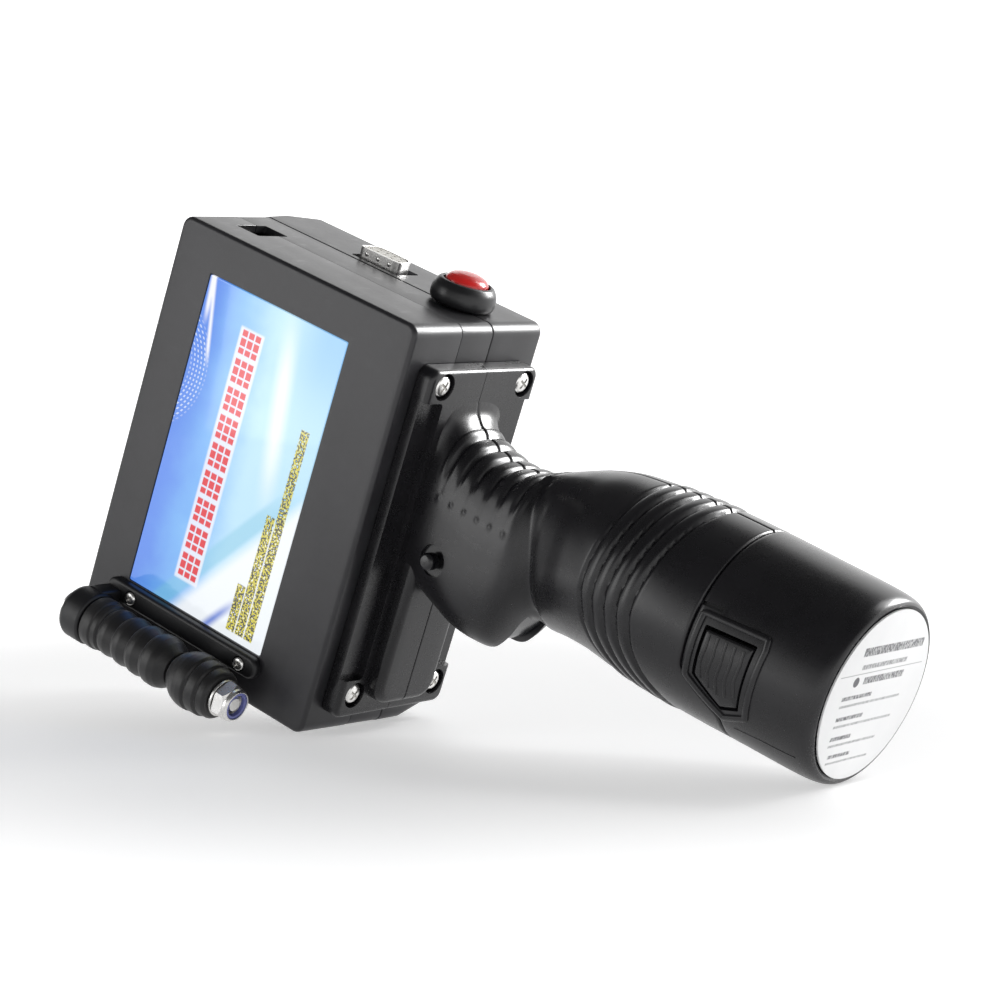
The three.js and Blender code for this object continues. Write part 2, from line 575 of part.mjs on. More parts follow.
// ---------------------------------------------------------------- ink cartridge
const cartridgeBody = extrudeZ(
  roundedRect(BAY.x[0], BAY.x[1] - 6, BAY.y[0], BAY.y[1], 2), BAY.z + 2.8, HEIGHT - 0.4, 0.8,
);
const snout = box(-3, 8, 29, 43, 50, 66);
add("ink_cartridge", cartridgeBody.add(snout), 0x1b1b1e, 0.5);
add("print_head", box(-3.6, -3.1, 31, 41, 51, 65), 0xc9a24a, 0.35, 0.8);
add("cartridge_cradle", box(BAY.x[0], BAY.x[1], BAY.y[0], BAY.y[1], BAY.z + 0.4, BAY.z + 2.4)
  .add(box(BAY.x[1] - 4.4, BAY.x[1] - 2.4, BAY.y[0], BAY.y[1], BAY.z + 0.4, HEIGHT - 8)),
0x2a2a2d, 0.5);
add("contact_board", box(BAY.x[1] - 2.1, BAY.x[1] - 0.6, BAY.y[0] + 2, BAY.y[1] - 2, 40, 76),
  BOARD, 0.6);

// Steel plate round the print head on the print face.
const facePlate = extrudeX(roundedRect(23.6, 44.8, 14, 86, 1.5), -3, -1.9)
  .subtract(box(-4, 3, 27.4, 43.4, 46, HEIGHT + 10));
add("print_face_plate", facePlate, 0xb4b6ba, 0.3, 0.9);

const group = new THREE.Group();
group.name = "date_code_inkjet_printer";
group.add(printer);

export default group;
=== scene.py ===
"""Looks of a handheld date code inkjet printer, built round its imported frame.

Shapes are drawn in the printer's own axes, in millimetres, as the frame's source draws them:
X from the print face to the face with the ports, Y from the display to the back, Z from the
handle to the far face. TO_ROW lays them down in the row frame.
"""
import json
import math

import bmesh
import bpy
import numpy as np
from mathutils import Matrix, Vector


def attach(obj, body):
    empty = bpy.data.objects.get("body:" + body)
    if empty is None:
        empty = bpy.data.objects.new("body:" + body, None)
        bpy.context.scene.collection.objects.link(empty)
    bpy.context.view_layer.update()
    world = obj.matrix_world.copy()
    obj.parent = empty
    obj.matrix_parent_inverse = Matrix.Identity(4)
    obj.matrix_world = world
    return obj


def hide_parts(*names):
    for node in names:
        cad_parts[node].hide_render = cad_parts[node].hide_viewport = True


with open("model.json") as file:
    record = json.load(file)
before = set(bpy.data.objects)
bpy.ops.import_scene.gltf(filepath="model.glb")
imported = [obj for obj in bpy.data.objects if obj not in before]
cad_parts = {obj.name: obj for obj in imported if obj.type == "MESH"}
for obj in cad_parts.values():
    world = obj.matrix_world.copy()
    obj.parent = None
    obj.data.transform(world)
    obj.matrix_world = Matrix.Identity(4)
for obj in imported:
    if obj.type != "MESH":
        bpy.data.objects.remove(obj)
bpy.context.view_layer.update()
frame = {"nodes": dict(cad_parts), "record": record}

# ---------------- main sizes, in mm
# Housing: its walls, corner radius, the two seams and the display window.
WIDTH, DEPTH, HEIGHT = 122.4, 58.2, 91.6
MID = DEPTH / 2
WALL = 2.4
CORNER = 3.5
SEAM_FRONT, SEAM_REAR = 21.0, 35.0
SEAM_GAP = 0.07
SCREEN_X, SCREEN_Z, SCREEN_LONG, SCREEN_SHORT = 14.2, 22.0, 95.04, 53.86
# Openings on the port face, as Y and Z spans, then the cartridge bay and the print slot.
USB_OPENING = (12.1, 24.9, 72.9, 82.1)
SERIAL_OPENING = (37.3, 47.9, 40.5, 58.6)
BAY_X, BAY_Y, BAY_Z = (3.2, 80.4), (20.4, 54.6), 30.0
BAY_CLEARANCE = 0.6
PRINT_SLOT_Y, PRINT_SLOT_Z = (27.4, 44.6), 46
BUTTON_HOLE_R = 6.4
# Handle, battery, its stem and the bay that takes the stem.
GRIP_X = 79.5
BATTERY_TOP, BATTERY_END = -107.5, -149.2
STEM_R, STEM_TOP, STEM_BAY_R, STEM_BAY_TOP = 21.2, -72.0, 22.0, -70.0
FLANGE = 5.8
TRIGGER_Z = (-46.6, -19.0)
# Centres of the roller, the two buttons and the serial port (the last as Y and Z).
ROLLER = (2.3, -11.0, -1.0)
BUTTON = (WIDTH, 38.5, 16.5)
POWER = (59.4, 0.0, -16.6)
PORT = (42.6, 49.55)

# How the printer lies in the row frame: its lean, and where its origin lands.
LEAN = math.radians(20.11)
SHIFT = (-43.79, -19.2, 0.78)
RISE, RUN = math.sin(LEAN), math.cos(LEAN)
TO_ROW = Matrix.Scale(0.001, 4) @ Matrix((
    (RISE, 0, -RUN, SHIFT[0]),
    (0, 1, 0, SHIFT[1]),
    (RUN, 0, RISE, SHIFT[2]),
    (0, 0, 0, 1),
))


# ---------------- material helpers
class Wire:
    """A node output that takes arithmetic, so a pattern reads as a formula."""

    def __init__(self, tree, socket):
        self.tree = tree
        self.socket = socket

    def math(self, operation, *others):
        node = self.tree.nodes.new("ShaderNodeMath")
        node.operation = operation
        for slot, value in enumerate((self, *others)):
            plug(self.tree, value, node.inputs[slot])
        return Wire(self.tree, node.outputs[0])

    def __add__(self, other):
        return self.math("ADD", other)

    def __sub__(self, other):
        return self.math("SUBTRACT", other)

    def __mul__(self, other):
        return self.math("MULTIPLY", other)

    def __truediv__(self, other):
        return self.math("DIVIDE", other)

    __radd__ = __add__
    __rmul__ = __mul__

    def __rsub__(self, other):
        return (self * -1.0) + other

    def step(self, low, high):
        """0 below low, 1 above high, smooth between them."""
        node = self.tree.nodes.new("ShaderNodeMapRange")
        node.interpolation_type = "SMOOTHSTEP"
        node.inputs["From Min"].default_value = low
        node.inputs["From Max"].default_value = high
        plug(self.tree, self, node.inputs["Value"])
        return Wire(self.tree, node.outputs[0])

    def between(self, low, high, soft):
        """1 from low to high and 0 outside, with soft edges."""
        return self.step(low - soft, low + soft) * (1.0 - self.step(high - soft, high + soft))


def plug(tree, value, socket):
    """Links a wire into a socket, or sets the socket to a plain value."""
    if isinstance(value, Wire):
        tree.links.new(value.socket, socket)
    else:
        socket.default_value = value


class Look:
    """A material under construction, with its shader and its coordinates in mm."""

    def __init__(self, name, rough, metal=0.0, **fixed):
        self.material = bpy.data.materials.new(name)
        self.material.use_nodes = True
        self.tree = self.material.node_tree
        self.shader = self.tree.nodes["Principled BSDF"]
        self.set("Roughness", rough)
        self.set("Metallic", metal)
        for key, value in fixed.items():
            self.set(key.replace("_", " "), value)
        self.place = self.tree.nodes.new("ShaderNodeTexCoord").outputs["Object"]

    def set(self, key, value):
        plug(self.tree, value, self.shader.inputs[key])

    def axes(self):
        node = self.tree.nodes.new("ShaderNodeSeparateXYZ")
        self.tree.links.new(self.place, node.inputs[0])
        return [Wire(self.tree, out) for out in node.outputs]

    def noise(self, scale, detail=3.0, rough=0.5, stretch=None):
        node = self.tree.nodes.new("ShaderNodeTexNoise")
        node.inputs["Scale"].default_value = scale
        node.inputs["Detail"].default_value = detail
        node.inputs["Roughness"].default_value = rough
        source = self.place
        if stretch:
            mapping = self.tree.nodes.new("ShaderNodeMapping")
            mapping.inputs["Scale"].default_value = stretch
            self.tree.links.new(source, mapping.inputs[0])
            source = mapping.outputs[0]
        self.tree.links.new(source, node.inputs["Vector"])
        return Wire(self.tree, node.outputs["Fac"])

    def mix(self, factor, a, b):
        node = self.tree.nodes.new("ShaderNodeMix")
        node.data_type = "RGBA"
        plug(self.tree, factor, node.inputs[0])
        for value, socket in ((a, node.inputs[6]), (b, node.inputs[7])):
            if isinstance(value, Wire):
                plug(self.tree, value, socket)
            else:
                socket.default_value = (*value, 1.0)
        return Wire(self.tree, node.outputs[2])

    def bump(self, *layers):
        """Each layer is (height wire, depth in mm)."""
        previous = None
        for height, depth in layers:
            node = self.tree.nodes.new("ShaderNodeBump")
            node.inputs["Distance"].default_value = depth * 0.001
            plug(self.tree, height, node.inputs["Height"])
            if previous:
                self.tree.links.new(previous, node.inputs["Normal"])
            previous = node.outputs[0]
        self.tree.links.new(previous, self.shader.inputs["Normal"])

    def edges(self, low, high):
        """1 on edges that stand out, 0 on flat stretches."""
        node = self.tree.nodes.new("ShaderNodeNewGeometry")
        return Wire(self.tree, node.outputs["Pointiness"]).step(low, high)


def moulded(name, color, rough, depth=0.012, wear=0.5, **fixed):
    """Moulded plastic: fine sparkle grain, faint mottling, handling marks, paler worn edges."""
    look = Look(name, rough, **fixed)
    broad = look.noise(0.045, 4.0, 0.6)
    fine = look.noise(0.9, 2.0, 0.55)
    marks = look.noise(0.35, 5.0, 0.7, (1.0, 0.25, 0.6)).step(0.52, 0.78)
    worn = look.edges(0.52, 0.6) * look.noise(0.4, 4.0, 0.6).step(0.38, 0.62) * wear
    dark = tuple(c * 0.82 for c in color)
    light = tuple(min(1.0, c * 1.22 + 0.002) for c in color)
    pale = tuple(min(1.0, c * 1.8 + 0.012) for c in color)
    tone = look.mix(broad.step(0.3, 0.7), dark, light)
    look.set("Base Color", look.mix(worn, tone, pale))
    look.set("Roughness", rough - 0.08 * marks + (broad - 0.5) * 0.12 + (fine - 0.5) * 0.05)
    look.bump((fine, depth), (look.noise(0.09, 2.0), 0.05))
    return look.material


def bright(name, color, rough, brushed=(1.0, 1.0, 1.0), grain=0.6):
    """Plated or brushed metal, with fine lines along one way and dull patches."""
    look = Look(name, rough, 1.0)
    lines = look.noise(grain, 3.0, 0.6, brushed)
    patch = look.noise(0.25, 4.0, 0.65)
    dull = tuple(c * 0.86 for c in color)
    look.set("Base Color", look.mix(patch.step(0.35, 0.75), color, dull))
    look.set("Roughness", rough + (lines - 0.5) * 0.1 + patch.step(0.5, 0.8) * 0.05)
    look.bump((lines, 0.0006))
    return look.material


def rubbery(name, color, rough):
    """Moulded rubber: a dry, slightly dusty skin with small pits."""
    look = Look(name, rough, Sheen_Weight=0.12, Sheen_Roughness=0.5)
    broad = look.noise(0.12, 4.0, 0.6)
    pits = look.noise(1.6, 3.0, 0.7)
    dust = look.edges(0.5, 0.62) * look.noise(0.5, 5.0, 0.7).step(0.4, 0.7) * 0.5
    tone = look.mix(broad, tuple(c * 0.8 for c in color), tuple(c * 1.3 for c in color))
    look.set("Base Color", look.mix(dust, tone, (0.09, 0.088, 0.085)))
    look.set("Roughness", rough + (broad - 0.5) * 0.16)
    look.bump((pits, 0.03), (broad, 0.08))
    return look.material


def board_look(name):
    """Green circuit board with a grid of paler tracks."""
    look = Look(name, 0.35, Coat_Weight=0.4)
    x, _, z = look.axes()
    weave = (x * 2.4).math("SINE") * (z * 2.4).math("SINE")
    tracks = look.noise(0.5, 1.0, 0.2, (0.3, 1.0, 1.0)).between(0.48, 0.53, 0.008)
    look.set("Base Color", look.mix(tracks, (0.006, 0.06, 0.028), (0.02, 0.17, 0.07)))
    look.set("Roughness", 0.35 + weave * 0.05)
    look.bump((tracks, 0.03))
    return look.material


HOUSING = moulded("housing_abs", (0.021, 0.0205, 0.0235), 0.37)
GRIP = moulded("grip_nylon", (0.0075, 0.0071, 0.0088), 0.28, depth=0.003, wear=0.15)
GLOSSY = moulded("gloss_black", (0.006, 0.006, 0.0075), 0.2, depth=0.004, wear=0.2)
DARK = moulded("dark_plastic", (0.0075, 0.0075, 0.0088), 0.42, wear=0.3)
PALE = moulded("pale_insert", (0.72, 0.7, 0.64), 0.4, wear=0.1)
BEZEL = moulded("bezel_plastic", (0.012, 0.0122, 0.0135), 0.34, wear=0.3)
RED = moulded("red_plastic", (0.72, 0.018, 0.016), 0.24, depth=0.004, wear=0.15, Coat_Weight=0.3)
ZINC = bright("zinc_plate", (0.93, 0.92, 0.9), 0.28)
STEEL = bright("brushed_sheet", (0.7, 0.7, 0.71), 0.3, (0.2, 1.0, 6.0), 1.4)
GOLD = bright("nozzle_gold", (0.75, 0.56, 0.22), 0.3, (1.0, 0.2, 4.0), 2.0)
RUBBER = rubbery("roller_rubber", (0.009, 0.0085, 0.009), 0.4)
VIOLET = moulded("violet_nylon", (0.18, 0.2, 0.5), 0.3, wear=0.2)
WRAP = moulded("cell_wrap", (0.03, 0.16, 0.42), 0.3, depth=0.004, wear=0.1)
BOARD = board_look("circuit_board")


# ---------------- mesh helpers
# Least radius of a turned ring, so that a point on the axis still makes a ring.
AXIS_R = 1e-3


def add_object(name, data):
    """A new object in the scene that shows this mesh, lamp or camera."""
    thing = bpy.data.objects.new(name, data)
    bpy.context.scene.collection.objects.link(thing)
    return thing


def solid(vertices, faces):
    """A temporary mesh object in the printer's axes, with its faces pointing out."""
    mesh = bpy.data.meshes.new("solid")
    mesh.from_pydata([tuple(map(float, v)) for v in vertices], [], faces)
    work = bmesh.new()
    work.from_mesh(mesh)
    bmesh.ops.recalc_face_normals(work, faces=work.faces)
    if work.calc_volume(signed=True) < 0:
        bmesh.ops.reverse_faces(work, faces=work.faces)
    work.to_mesh(mesh)
    work.free()
    thing = add_object("solid", mesh)
    thing.matrix_world = TO_ROW
    return thing


def loft(rings, ring_closed=False):
    """Skin through rings of equal length; open ends are capped, or the last meets the first."""
    count = len(rings[0])
    vertices = [p for ring in rings for p in ring]
    faces = []
    total = len(rings)
    for i in range(total if ring_closed else total - 1):
        j = (i + 1) % total
        for k in range(count):
            n = (k + 1) % count
            faces.append((i * count + k, i * count + n, j * count + n, j * count + k))
    if not ring_closed:
        faces.append(tuple(range(count)))
        faces.append(tuple(range((total - 1) * count, total * count)))
    return solid(vertices, faces)


def soften(points, radius, steps=4, closed=False):
    """Rounds the corners of a polyline with arcs of about that radius."""
    result = []
    total = len(points)
    for i, point in enumerate(points):
        here = np.array(point, float)
        if not closed and i in (0, total - 1):
            result.append(tuple(here))
            continue
        before = np.array(points[i - 1], float) - here
        after = np.array(points[(i + 1) % total], float) - here
        reach = min(radius, 0.45 * np.linalg.norm(before), 0.45 * np.linalg.norm(after))
        a = here + before / (np.linalg.norm(before) or 1) * reach
        b = here + after / (np.linalg.norm(after) or 1) * reach
        for k in range(steps + 1):
            t = k / steps
            result.append(tuple((1 - t) ** 2 * a + 2 * t * (1 - t) * here + t * t * b))
    return result


def lay_on(axis):
    """Maker of X, Y, Z points from a distance along the axis and the two other coordinates."""
    return {
        "x": lambda u, v, h: (h, u, v),
        "y": lambda u, v, h: (u, h, v),
        "z": lambda u, v, h: (u, v, h),
    }[axis]


def turned(axis, centre, profile, segments=72, radius=0.0):
    """A turned solid; profile is [radius, distance along the axis] and may close on itself."""
    closed = profile[0] == profile[-1]
    points = profile[:-1] if closed else profile
    if radius:
        points = soften(points, radius, closed=closed)
    put = lay_on(axis)
    rings = []
    for r, h in points:
        ring = []
        for k in range(segments):
            a = 2 * math.pi * k / segments
            local = put(max(r, AXIS_R) * math.cos(a), max(r, AXIS_R) * math.sin(a), h)
            ring.append(tuple(c + d for c, d in zip(centre, local)))
        rings.append(ring)
    return loft(rings, closed)


def bar(axis, centre, radius, start, end, segments=40):
    """A plain round bar."""
    return turned(axis, centre, [[radius, start], [radius, end]], segments)


def block(x0, x1, y0, y1, z0, z1):
    """A plain box."""
    ring = [(x0, y0), (x1, y0), (x1, y1), (x0, y1)]
    return loft([[(x, y, z) for x, y in ring] for z in (z0, z1)])


def rounded(u0, u1, v0, v1, r, steps=8):
    """Outline of a rounded rectangle."""
    centres = [(u1 - r, v1 - r), (u0 + r, v1 - r), (u0 + r, v0 + r), (u1 - r, v0 + r)]
    points = []
    for quarter, (cu, cv) in enumerate(centres):
        for k in range(steps + 1):
            a = (quarter + k / steps) * math.pi / 2
            points.append((cu + r * math.cos(a), cv + r * math.sin(a)))
    return points


def prism(outline, axis, start, end):
    """Outline given in the two other axes, in X, Y, Z order."""
    put = lay_on(axis)
    return loft([[put(u, v, h) for u, v in outline] for h in (start, end)])


def pillow(u0, u1, v0, v1, r, axis, start, end, edge, sides=(True, True), steps=5):
    """A rounded slab whose two rims are rounded over by edge."""
    put = lay_on(axis)
    levels = []
    for k in range(steps + 1):
        a = math.pi / 2 * k / steps
        levels.append((edge * (1 - math.sin(a)), edge * (1 - math.cos(a))))
    low = [(start + h, inset) for inset, h in levels] if sides[0] else [(start, 0.0)]
    high = [(end - h, inset) for inset, h in levels] if sides[1] else [(end, 0.0)]
    rings = []
    for h, inset in low + high[::-1]:
        outline = rounded(u0 + inset, u1 - inset, v0 + inset, v1 - inset, max(r - inset, 0.15))
        rings.append([put(u, v, h) for u, v in outline])
    return loft(rings)


def bake(thing):
    """Replaces an object's mesh by what its modifiers make of it."""
    bpy.context.view_layer.update()
    graph = bpy.context.evaluated_depsgraph_get()
    mesh = bpy.data.meshes.new_from_object(thing.evaluated_get(graph), depsgraph=graph)
    thing.modifiers.clear()
    thing.data = mesh
    return thing


def carve(thing, *tools, how="DIFFERENCE"):
    """Cuts tools out of a solid, or joins or intersects them, and removes the tools."""
    for tool in tools:
        modifier = thing.modifiers.new("carve", "BOOLEAN")
        modifier.operation = how
        modifier.solver = "EXACT"
        modifier.object = tool
    bake(thing)
    for tool in tools:
        bpy.data.objects.remove(tool)
    return thing


def copy_of(node):
    """A CAD node's shape as a solid in the printer's axes, with its flat faces rejoined."""
    mesh = frame["nodes"][node].data.copy()
    mesh.transform(TO_ROW.inverted())
    work = bmesh.new()
    work.from_mesh(mesh)
    bmesh.ops.remove_doubles(work, verts=work.verts, dist=1e-3)
    bmesh.ops.dissolve_limit(
        work, angle_limit=math.radians(1.0), verts=work.verts, edges=work.edges)
    work.to_mesh(mesh)
    work.free()
    mesh.materials.clear()
    thing = add_object(node, mesh)
    thing.matrix_world = TO_ROW
    return thing


def piece(thing, name, look, nodes=(), body="housing_body", edge=0.0, sharp=38,
          segments=3):
    """Names a solid, gives it its material, softens its edges and lets it ride on its body."""
    thing.name = name
    thing.data.name = name
    thing.data.materials.clear()
    thing.data.materials.append(look)
    thing.data.shade_smooth()
    if edge:
        modifier = thing.modifiers.new("edge", "BEVEL")
        modifier.width = edge
        modifier.segments = segments
        modifier.limit_method = "ANGLE"
        modifier.angle_limit = math.radians(sharp)
        modifier.harden_normals = True
    else:
        thing.data.set_sharp_from_angle(angle=math.radians(sharp))
    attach(thing, body)
    if nodes:
        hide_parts(*nodes)
    return thing


# ---------------- housing shells
# How the print side and the far face stand off the plain box along the depth.
HOUSING_DEPTHS = [0, 35, 45, 57.4, DEPTH]
HOUSING_LOW_X = [-1, -1.8, -1.8, 2.6, 2.9]
HOUSING_HIGH_Z = [HEIGHT, HEIGHT + 1.6, HEIGHT + 3.2, HEIGHT + 0.2, HEIGHT]


def housing_ring(y, inset):
    """The housing's outline at one depth, drawn in by inset."""
    low_x = float(np.interp(y, HOUSING_DEPTHS, HOUSING_LOW_X)) + inset
    high_z = float(np.interp(y, HOUSING_DEPTHS, HOUSING_HIGH_Z)) - inset
    outline = rounded(low_x, WIDTH - inset, inset, high_z, max(CORNER - inset, 0.3), 12)
    return [(x, y, z) for x, z in outline]


def rim(y, inward, edge, steps=6):
    """Rings that round over one end of a shell; inward is +1 where the shell lies beyond y."""
    turns = [math.pi / 2 * k / steps for k in range(steps + 1)]
    return [(y + inward * edge * (1 - math.cos(a)), edge * (1 - math.sin(a))) for a in turns]


def shell_block(y0, y1, edge0, edge1, sink):
    """A solid slice of the housing from y0 to y1."""
    inner = [y for y in (8, 14, 28, 35, 40, 45, 51, 57) if y0 + edge0 < y < y1 - edge1]
    levels = rim(y0, 1, edge0) + [(y, 0.0) for y in inner] + rim(y1, -1, edge1)[::-1]
    return loft([housing_ring(y, inset + sink) for y, inset in levels])


def cavity():
    """The hollow inside the walls."""
    return loft([housing_ring(y, WALL) for y in (WALL, 35, 45, DEPTH - WALL)])


def openings():
    """Cutters for the ports, the button, the cartridge bay and the print slot."""
    gap = BAY_CLEARANCE
    return [
        prism(rounded(*USB_OPENING, 0.5, 3), "x", WIDTH - 6, WIDTH + 3),
        prism(rounded(*SERIAL_OPENING, 0.8, 4), "x", WIDTH - 6, WIDTH + 3),
        bar("x", BUTTON, BUTTON_HOLE_R, -6, 3),
        block(BAY_X[0] - gap, BAY_X[1] + gap, BAY_Y[0] - gap, BAY_Y[1] + gap, BAY_Z, HEIGHT + 10),
        block(-5, 5, *PRINT_SLOT_Y, PRINT_SLOT_Z, HEIGHT + 10),
    ]


# Each shell: its span in Y, the roundings of its two ends, and how far it sits below the others.
WINDOW_GAP = 0.45
SHELLS = {
    "front_shell": (0.0, SEAM_FRONT - SEAM_GAP, 1.3, 0.3, 0.0),
    "middle_frame": (SEAM_FRONT + SEAM_GAP, SEAM_REAR - SEAM_GAP, 0.25, 0.25, 0.12),
    "rear_shell": (SEAM_REAR + SEAM_GAP, DEPTH, 0.3, 1.6, 0.0),
}
for shell, (y0, y1, edge0, edge1, sink) in SHELLS.items():
    thing = shell_block(y0, y1, edge0, edge1, sink)
    tools = [cavity(), *openings()]
    if shell == "front_shell":
        tools.append(prism(rounded(
            SCREEN_X - WINDOW_GAP, SCREEN_X + SCREEN_LONG + WINDOW_GAP,
            SCREEN_Z - WINDOW_GAP, SCREEN_Z + SCREEN_SHORT + WINDOW_GAP, 0.4, 3),
            "y", -2, WALL + 1))
    carve(thing, *tools)
    piece(thing, shell + "_moulding", HOUSING, [shell],
          edge=0.22, sharp=50)


# ---------------- display
TITLE_BLOCKS, TITLE_PITCH, TITLE_START = 9, 0.0905, 0.088
# Each row of tiles: its lower edge and how far right it reaches, as parts of the screen.
TILE_ROWS = ((0.207, 0.17), (0.14, 0.41), (0.072, 0.7))


def display_look():
    """The lit picture; u runs right and v up over the screen, both from 0 to 1."""
    look = Look("display_picture", 0.12, Coat_Weight=0.6, Coat_Roughness=0.05)
    x, _, z = look.axes()
    u = (x - SCREEN_X) / SCREEN_LONG
    v = (z - SCREEN_Z) / SCREEN_SHORT
    # sky: deep blue along the top, paler downwards, with a white glow low on the right
    rise = v + (look.noise(0.05, 3.0, 0.55) - 0.5) * 0.3
    sky = look.mix(rise.step(0.36, 0.74), (0.5, 0.77, 0.94), (0.18, 0.46, 0.9))
    corner = u.step(0.55, 1.0) * (1.0 - v.step(0.1, 0.5))
    sky = look.mix(corner * 0.8, sky, (0.22, 0.5, 0.88))
    sky = look.mix(rise.step(0.66, 1.0), sky, (0.09, 0.25, 0.82))
    glow = (v - 0.3 - (u - 0.7) * 0.25).between(-0.04, 0.05, 0.05) * u.between(0.5, 0.92, 0.14)
    sky = look.mix(glow * 0.8, sky, (0.96, 0.99, 1.0))
    # lower left: white beyond a teal beam, and a short blue streak
    fall = v + u * 1.38
    sky = look.mix((1.0 - fall.step(0.6, 0.72)) * 0.92, sky, (0.95, 0.975, 1.0))
    beam = fall.between(0.7, 0.82, 0.022) * (1.0 - u.step(0.38, 0.55))
    sky = look.mix(beam * 0.5, sky, (0.2, 0.55, 0.74))
    streak = (v + u * 1.4).between(0.38, 0.43, 0.03) * (1.0 - u.step(0.04, 0.14))
    sky = look.mix(streak * 0.85, sky, (0.06, 0.16, 0.66))
    # arcs of dots and white swooshes at the top right
    ring = ((u - 0.7) * 1.76).math("POWER", 2.0) + (v - 1.25).math("POWER", 2.0)
    radius = ring.math("SQRT")
    arcs = (radius * 260.0).math("SINE").step(0.0, 0.6)
    dots = (u * 420.0).math("SINE").step(-0.4, 0.4)
    sky = look.mix(arcs * dots * radius.between(0.27, 0.39, 0.015) * 0.6, sky, (0.88, 0.96, 1.0))
    swoosh = (v - 0.875 - (u - 0.74) * 0.365).between(-0.012, 0.01, 0.012) * u.step(0.72, 0.8)
    upper = (v - 0.965 - (u - 0.88) * 0.15).between(-0.015, 0.012, 0.012) * u.step(0.84, 0.92)
    sky = look.mix((swoosh + upper).math("MINIMUM", 1.0) * 0.9, sky, (1.0, 1.0, 1.0))
    # title bar: equal red blocks, each of nine plain tiles, with a white outline
    title_end = TITLE_START + TITLE_BLOCKS * TITLE_PITCH
    place = (u - TITLE_START) / TITLE_PITCH
    inside = place - place.math("FLOOR")
    row = (v - 0.548) / 0.144
    live = u.between(TITLE_START, title_end, 0.002) * inside.between(0.1, 0.92, 0.03)
    title = live * row.between(0.02, 0.98, 0.04)
    halo = u.between(TITLE_START - 0.003, title_end, 0.005) * row.between(-0.1, 1.1, 0.05)
    column = inside * 3.0
    column = column - column.math("FLOOR")
    line = row * 3.0
    line = line - line.math("FLOOR")
    tiles = column.between(0.1, 0.9, 0.06) * line.between(0.1, 0.9, 0.06)
    sky = look.mix(halo * 0.7, sky, (0.97, 0.93, 0.96))
    sky = look.mix(title * tiles, sky, (0.72, 0.008, 0.022))
    # three rows of small yellow and black tiles
    speck = look.noise(1.5, 1.0, 0.2)
    rows = None
    for level, reach in TILE_ROWS:
        band = v.between(level, level + 0.06, 0.004) * u.between(0.02, reach, 0.003)
        rows = band if rows is None else rows + band
    rows = rows.math("MINIMUM", 1.0)
    ink = look.mix(speck.step(0.46, 0.5), (0.012, 0.012, 0.006), (0.66, 0.58, 0.02))
    sky = look.mix(rows * speck.between(0.3, 0.68, 0.01) * 0.95, sky, ink)
    # fine pixel lines of the panel
    lines = (x * 21.0).math("SINE") * 0.5 + 0.5
    sky = look.mix(lines * 0.04, sky, (0.0, 0.0, 0.02))
    look.set("Base Color", look.mix(0.85, sky, (0.01, 0.01, 0.012)))
    look.set("Emission Color", sky)
    look.set("Emission Strength", 0.9)
    return look.material


display = pillow(SCREEN_X - 0.2, SCREEN_X + SCREEN_LONG + 0.2, SCREEN_Z - 0.2,
                 SCREEN_Z + SCREEN_SHORT + 0.2, 0.5, "y", 0.12, 2.2, 0.12)
piece(display, "display_glass", display_look(), ["display_panel"])

# ---------------- handle and battery skin
# Sections of the handle: height, X of its rear side, X of its print side, half depth, squareness.
STATIONS = np.array([
    (-3, 98, 45, 14, 3), (-8, 96, 46.6, 14.5, 3), (-16, 92.9, 44.4, 15.3, 3),
    (-25, 91, 41.6, 16.2, 3), (-34, 92, 41.1, 16.8, 3), (-39.5, 94.4, 42.1, 17, 2.8),
    (-43, 96.4, 46.4, 16.5, 2.6), (-45.5, 97.6, 51.8, 16, 2.4), (-48, 98.8, 54.4, 16, 2.3),
    (-54, 101.4, 54, 18.2, 2.2), (-62, 103.9, 54.7, 22, 2.1), (-70, 105.1, 54.6, 24.6, 2),
    (-80, 106, 53.6, 26.4, 2),
    (-92, 106.6, 52.7, 27.1, 2), (-108, 106.8, 52.3, 27.2, 2), (-125, 106.6, 52.4, 27.2, 2),
    (-140, 106.4, 52.4, 27.1, 2), (-146, 106, 52.8, 26.8, 2), (-148.4, 105.2, 53.6, 26, 2),
    (BATTERY_END, 104.2, 54.6, 25, 2),
])
NECK_PITCH, NECK_START = 5, -12.5
NECK_GROOVES = [NECK_START - NECK_PITCH * k for k in range(6)]
# The neck grooves start here and are full beyond the run; a small bump ends each of them.
GROOVE_START_X, GROOVE_RUN = 81, 8
BUMP_X, BUMP_HEIGHT = 76.6, 0.45
FLARE_TOP, FLARE_RUN, FLARE_OUT = -12.3, 6.5, 5.2
# The valley between neck and grip.
CREASE_WIDTH, CREASE_DEPTH = 2.7, 1.7
# Run of the first grip groove: degrees round from the rear side, height.
GRIP_RUN = ([0, 45, 78, 90, 100, 115, 130, 143, 160, 180],
            [-74, -72.6, -71.3, -70.9, -71.3, -73.2, -76.6, -80.4, -83.6, -84.6])
GRIP_GROOVES = 5
# Above this height the handle's rows lie level; below it they bend to follow the joint.
BEND_TOP = -98
PARTING_WIDTH, PARTING_DEPTH = 0.9, 0.4
# Joint between grip and battery: level on the rear and the sides, lower on the print side.
JOINT_RUN = ([0, 108, 112, 131, 136, 180],
             [BATTERY_TOP, BATTERY_TOP, -108.6, -119.6, -120, -120])
HANDLE_WALL = 3.2
HALF_GAP = 0.08


def smooth(t):
    t = min(1.0, max(0.0, t))
    return t * t * (3 - 2 * t)


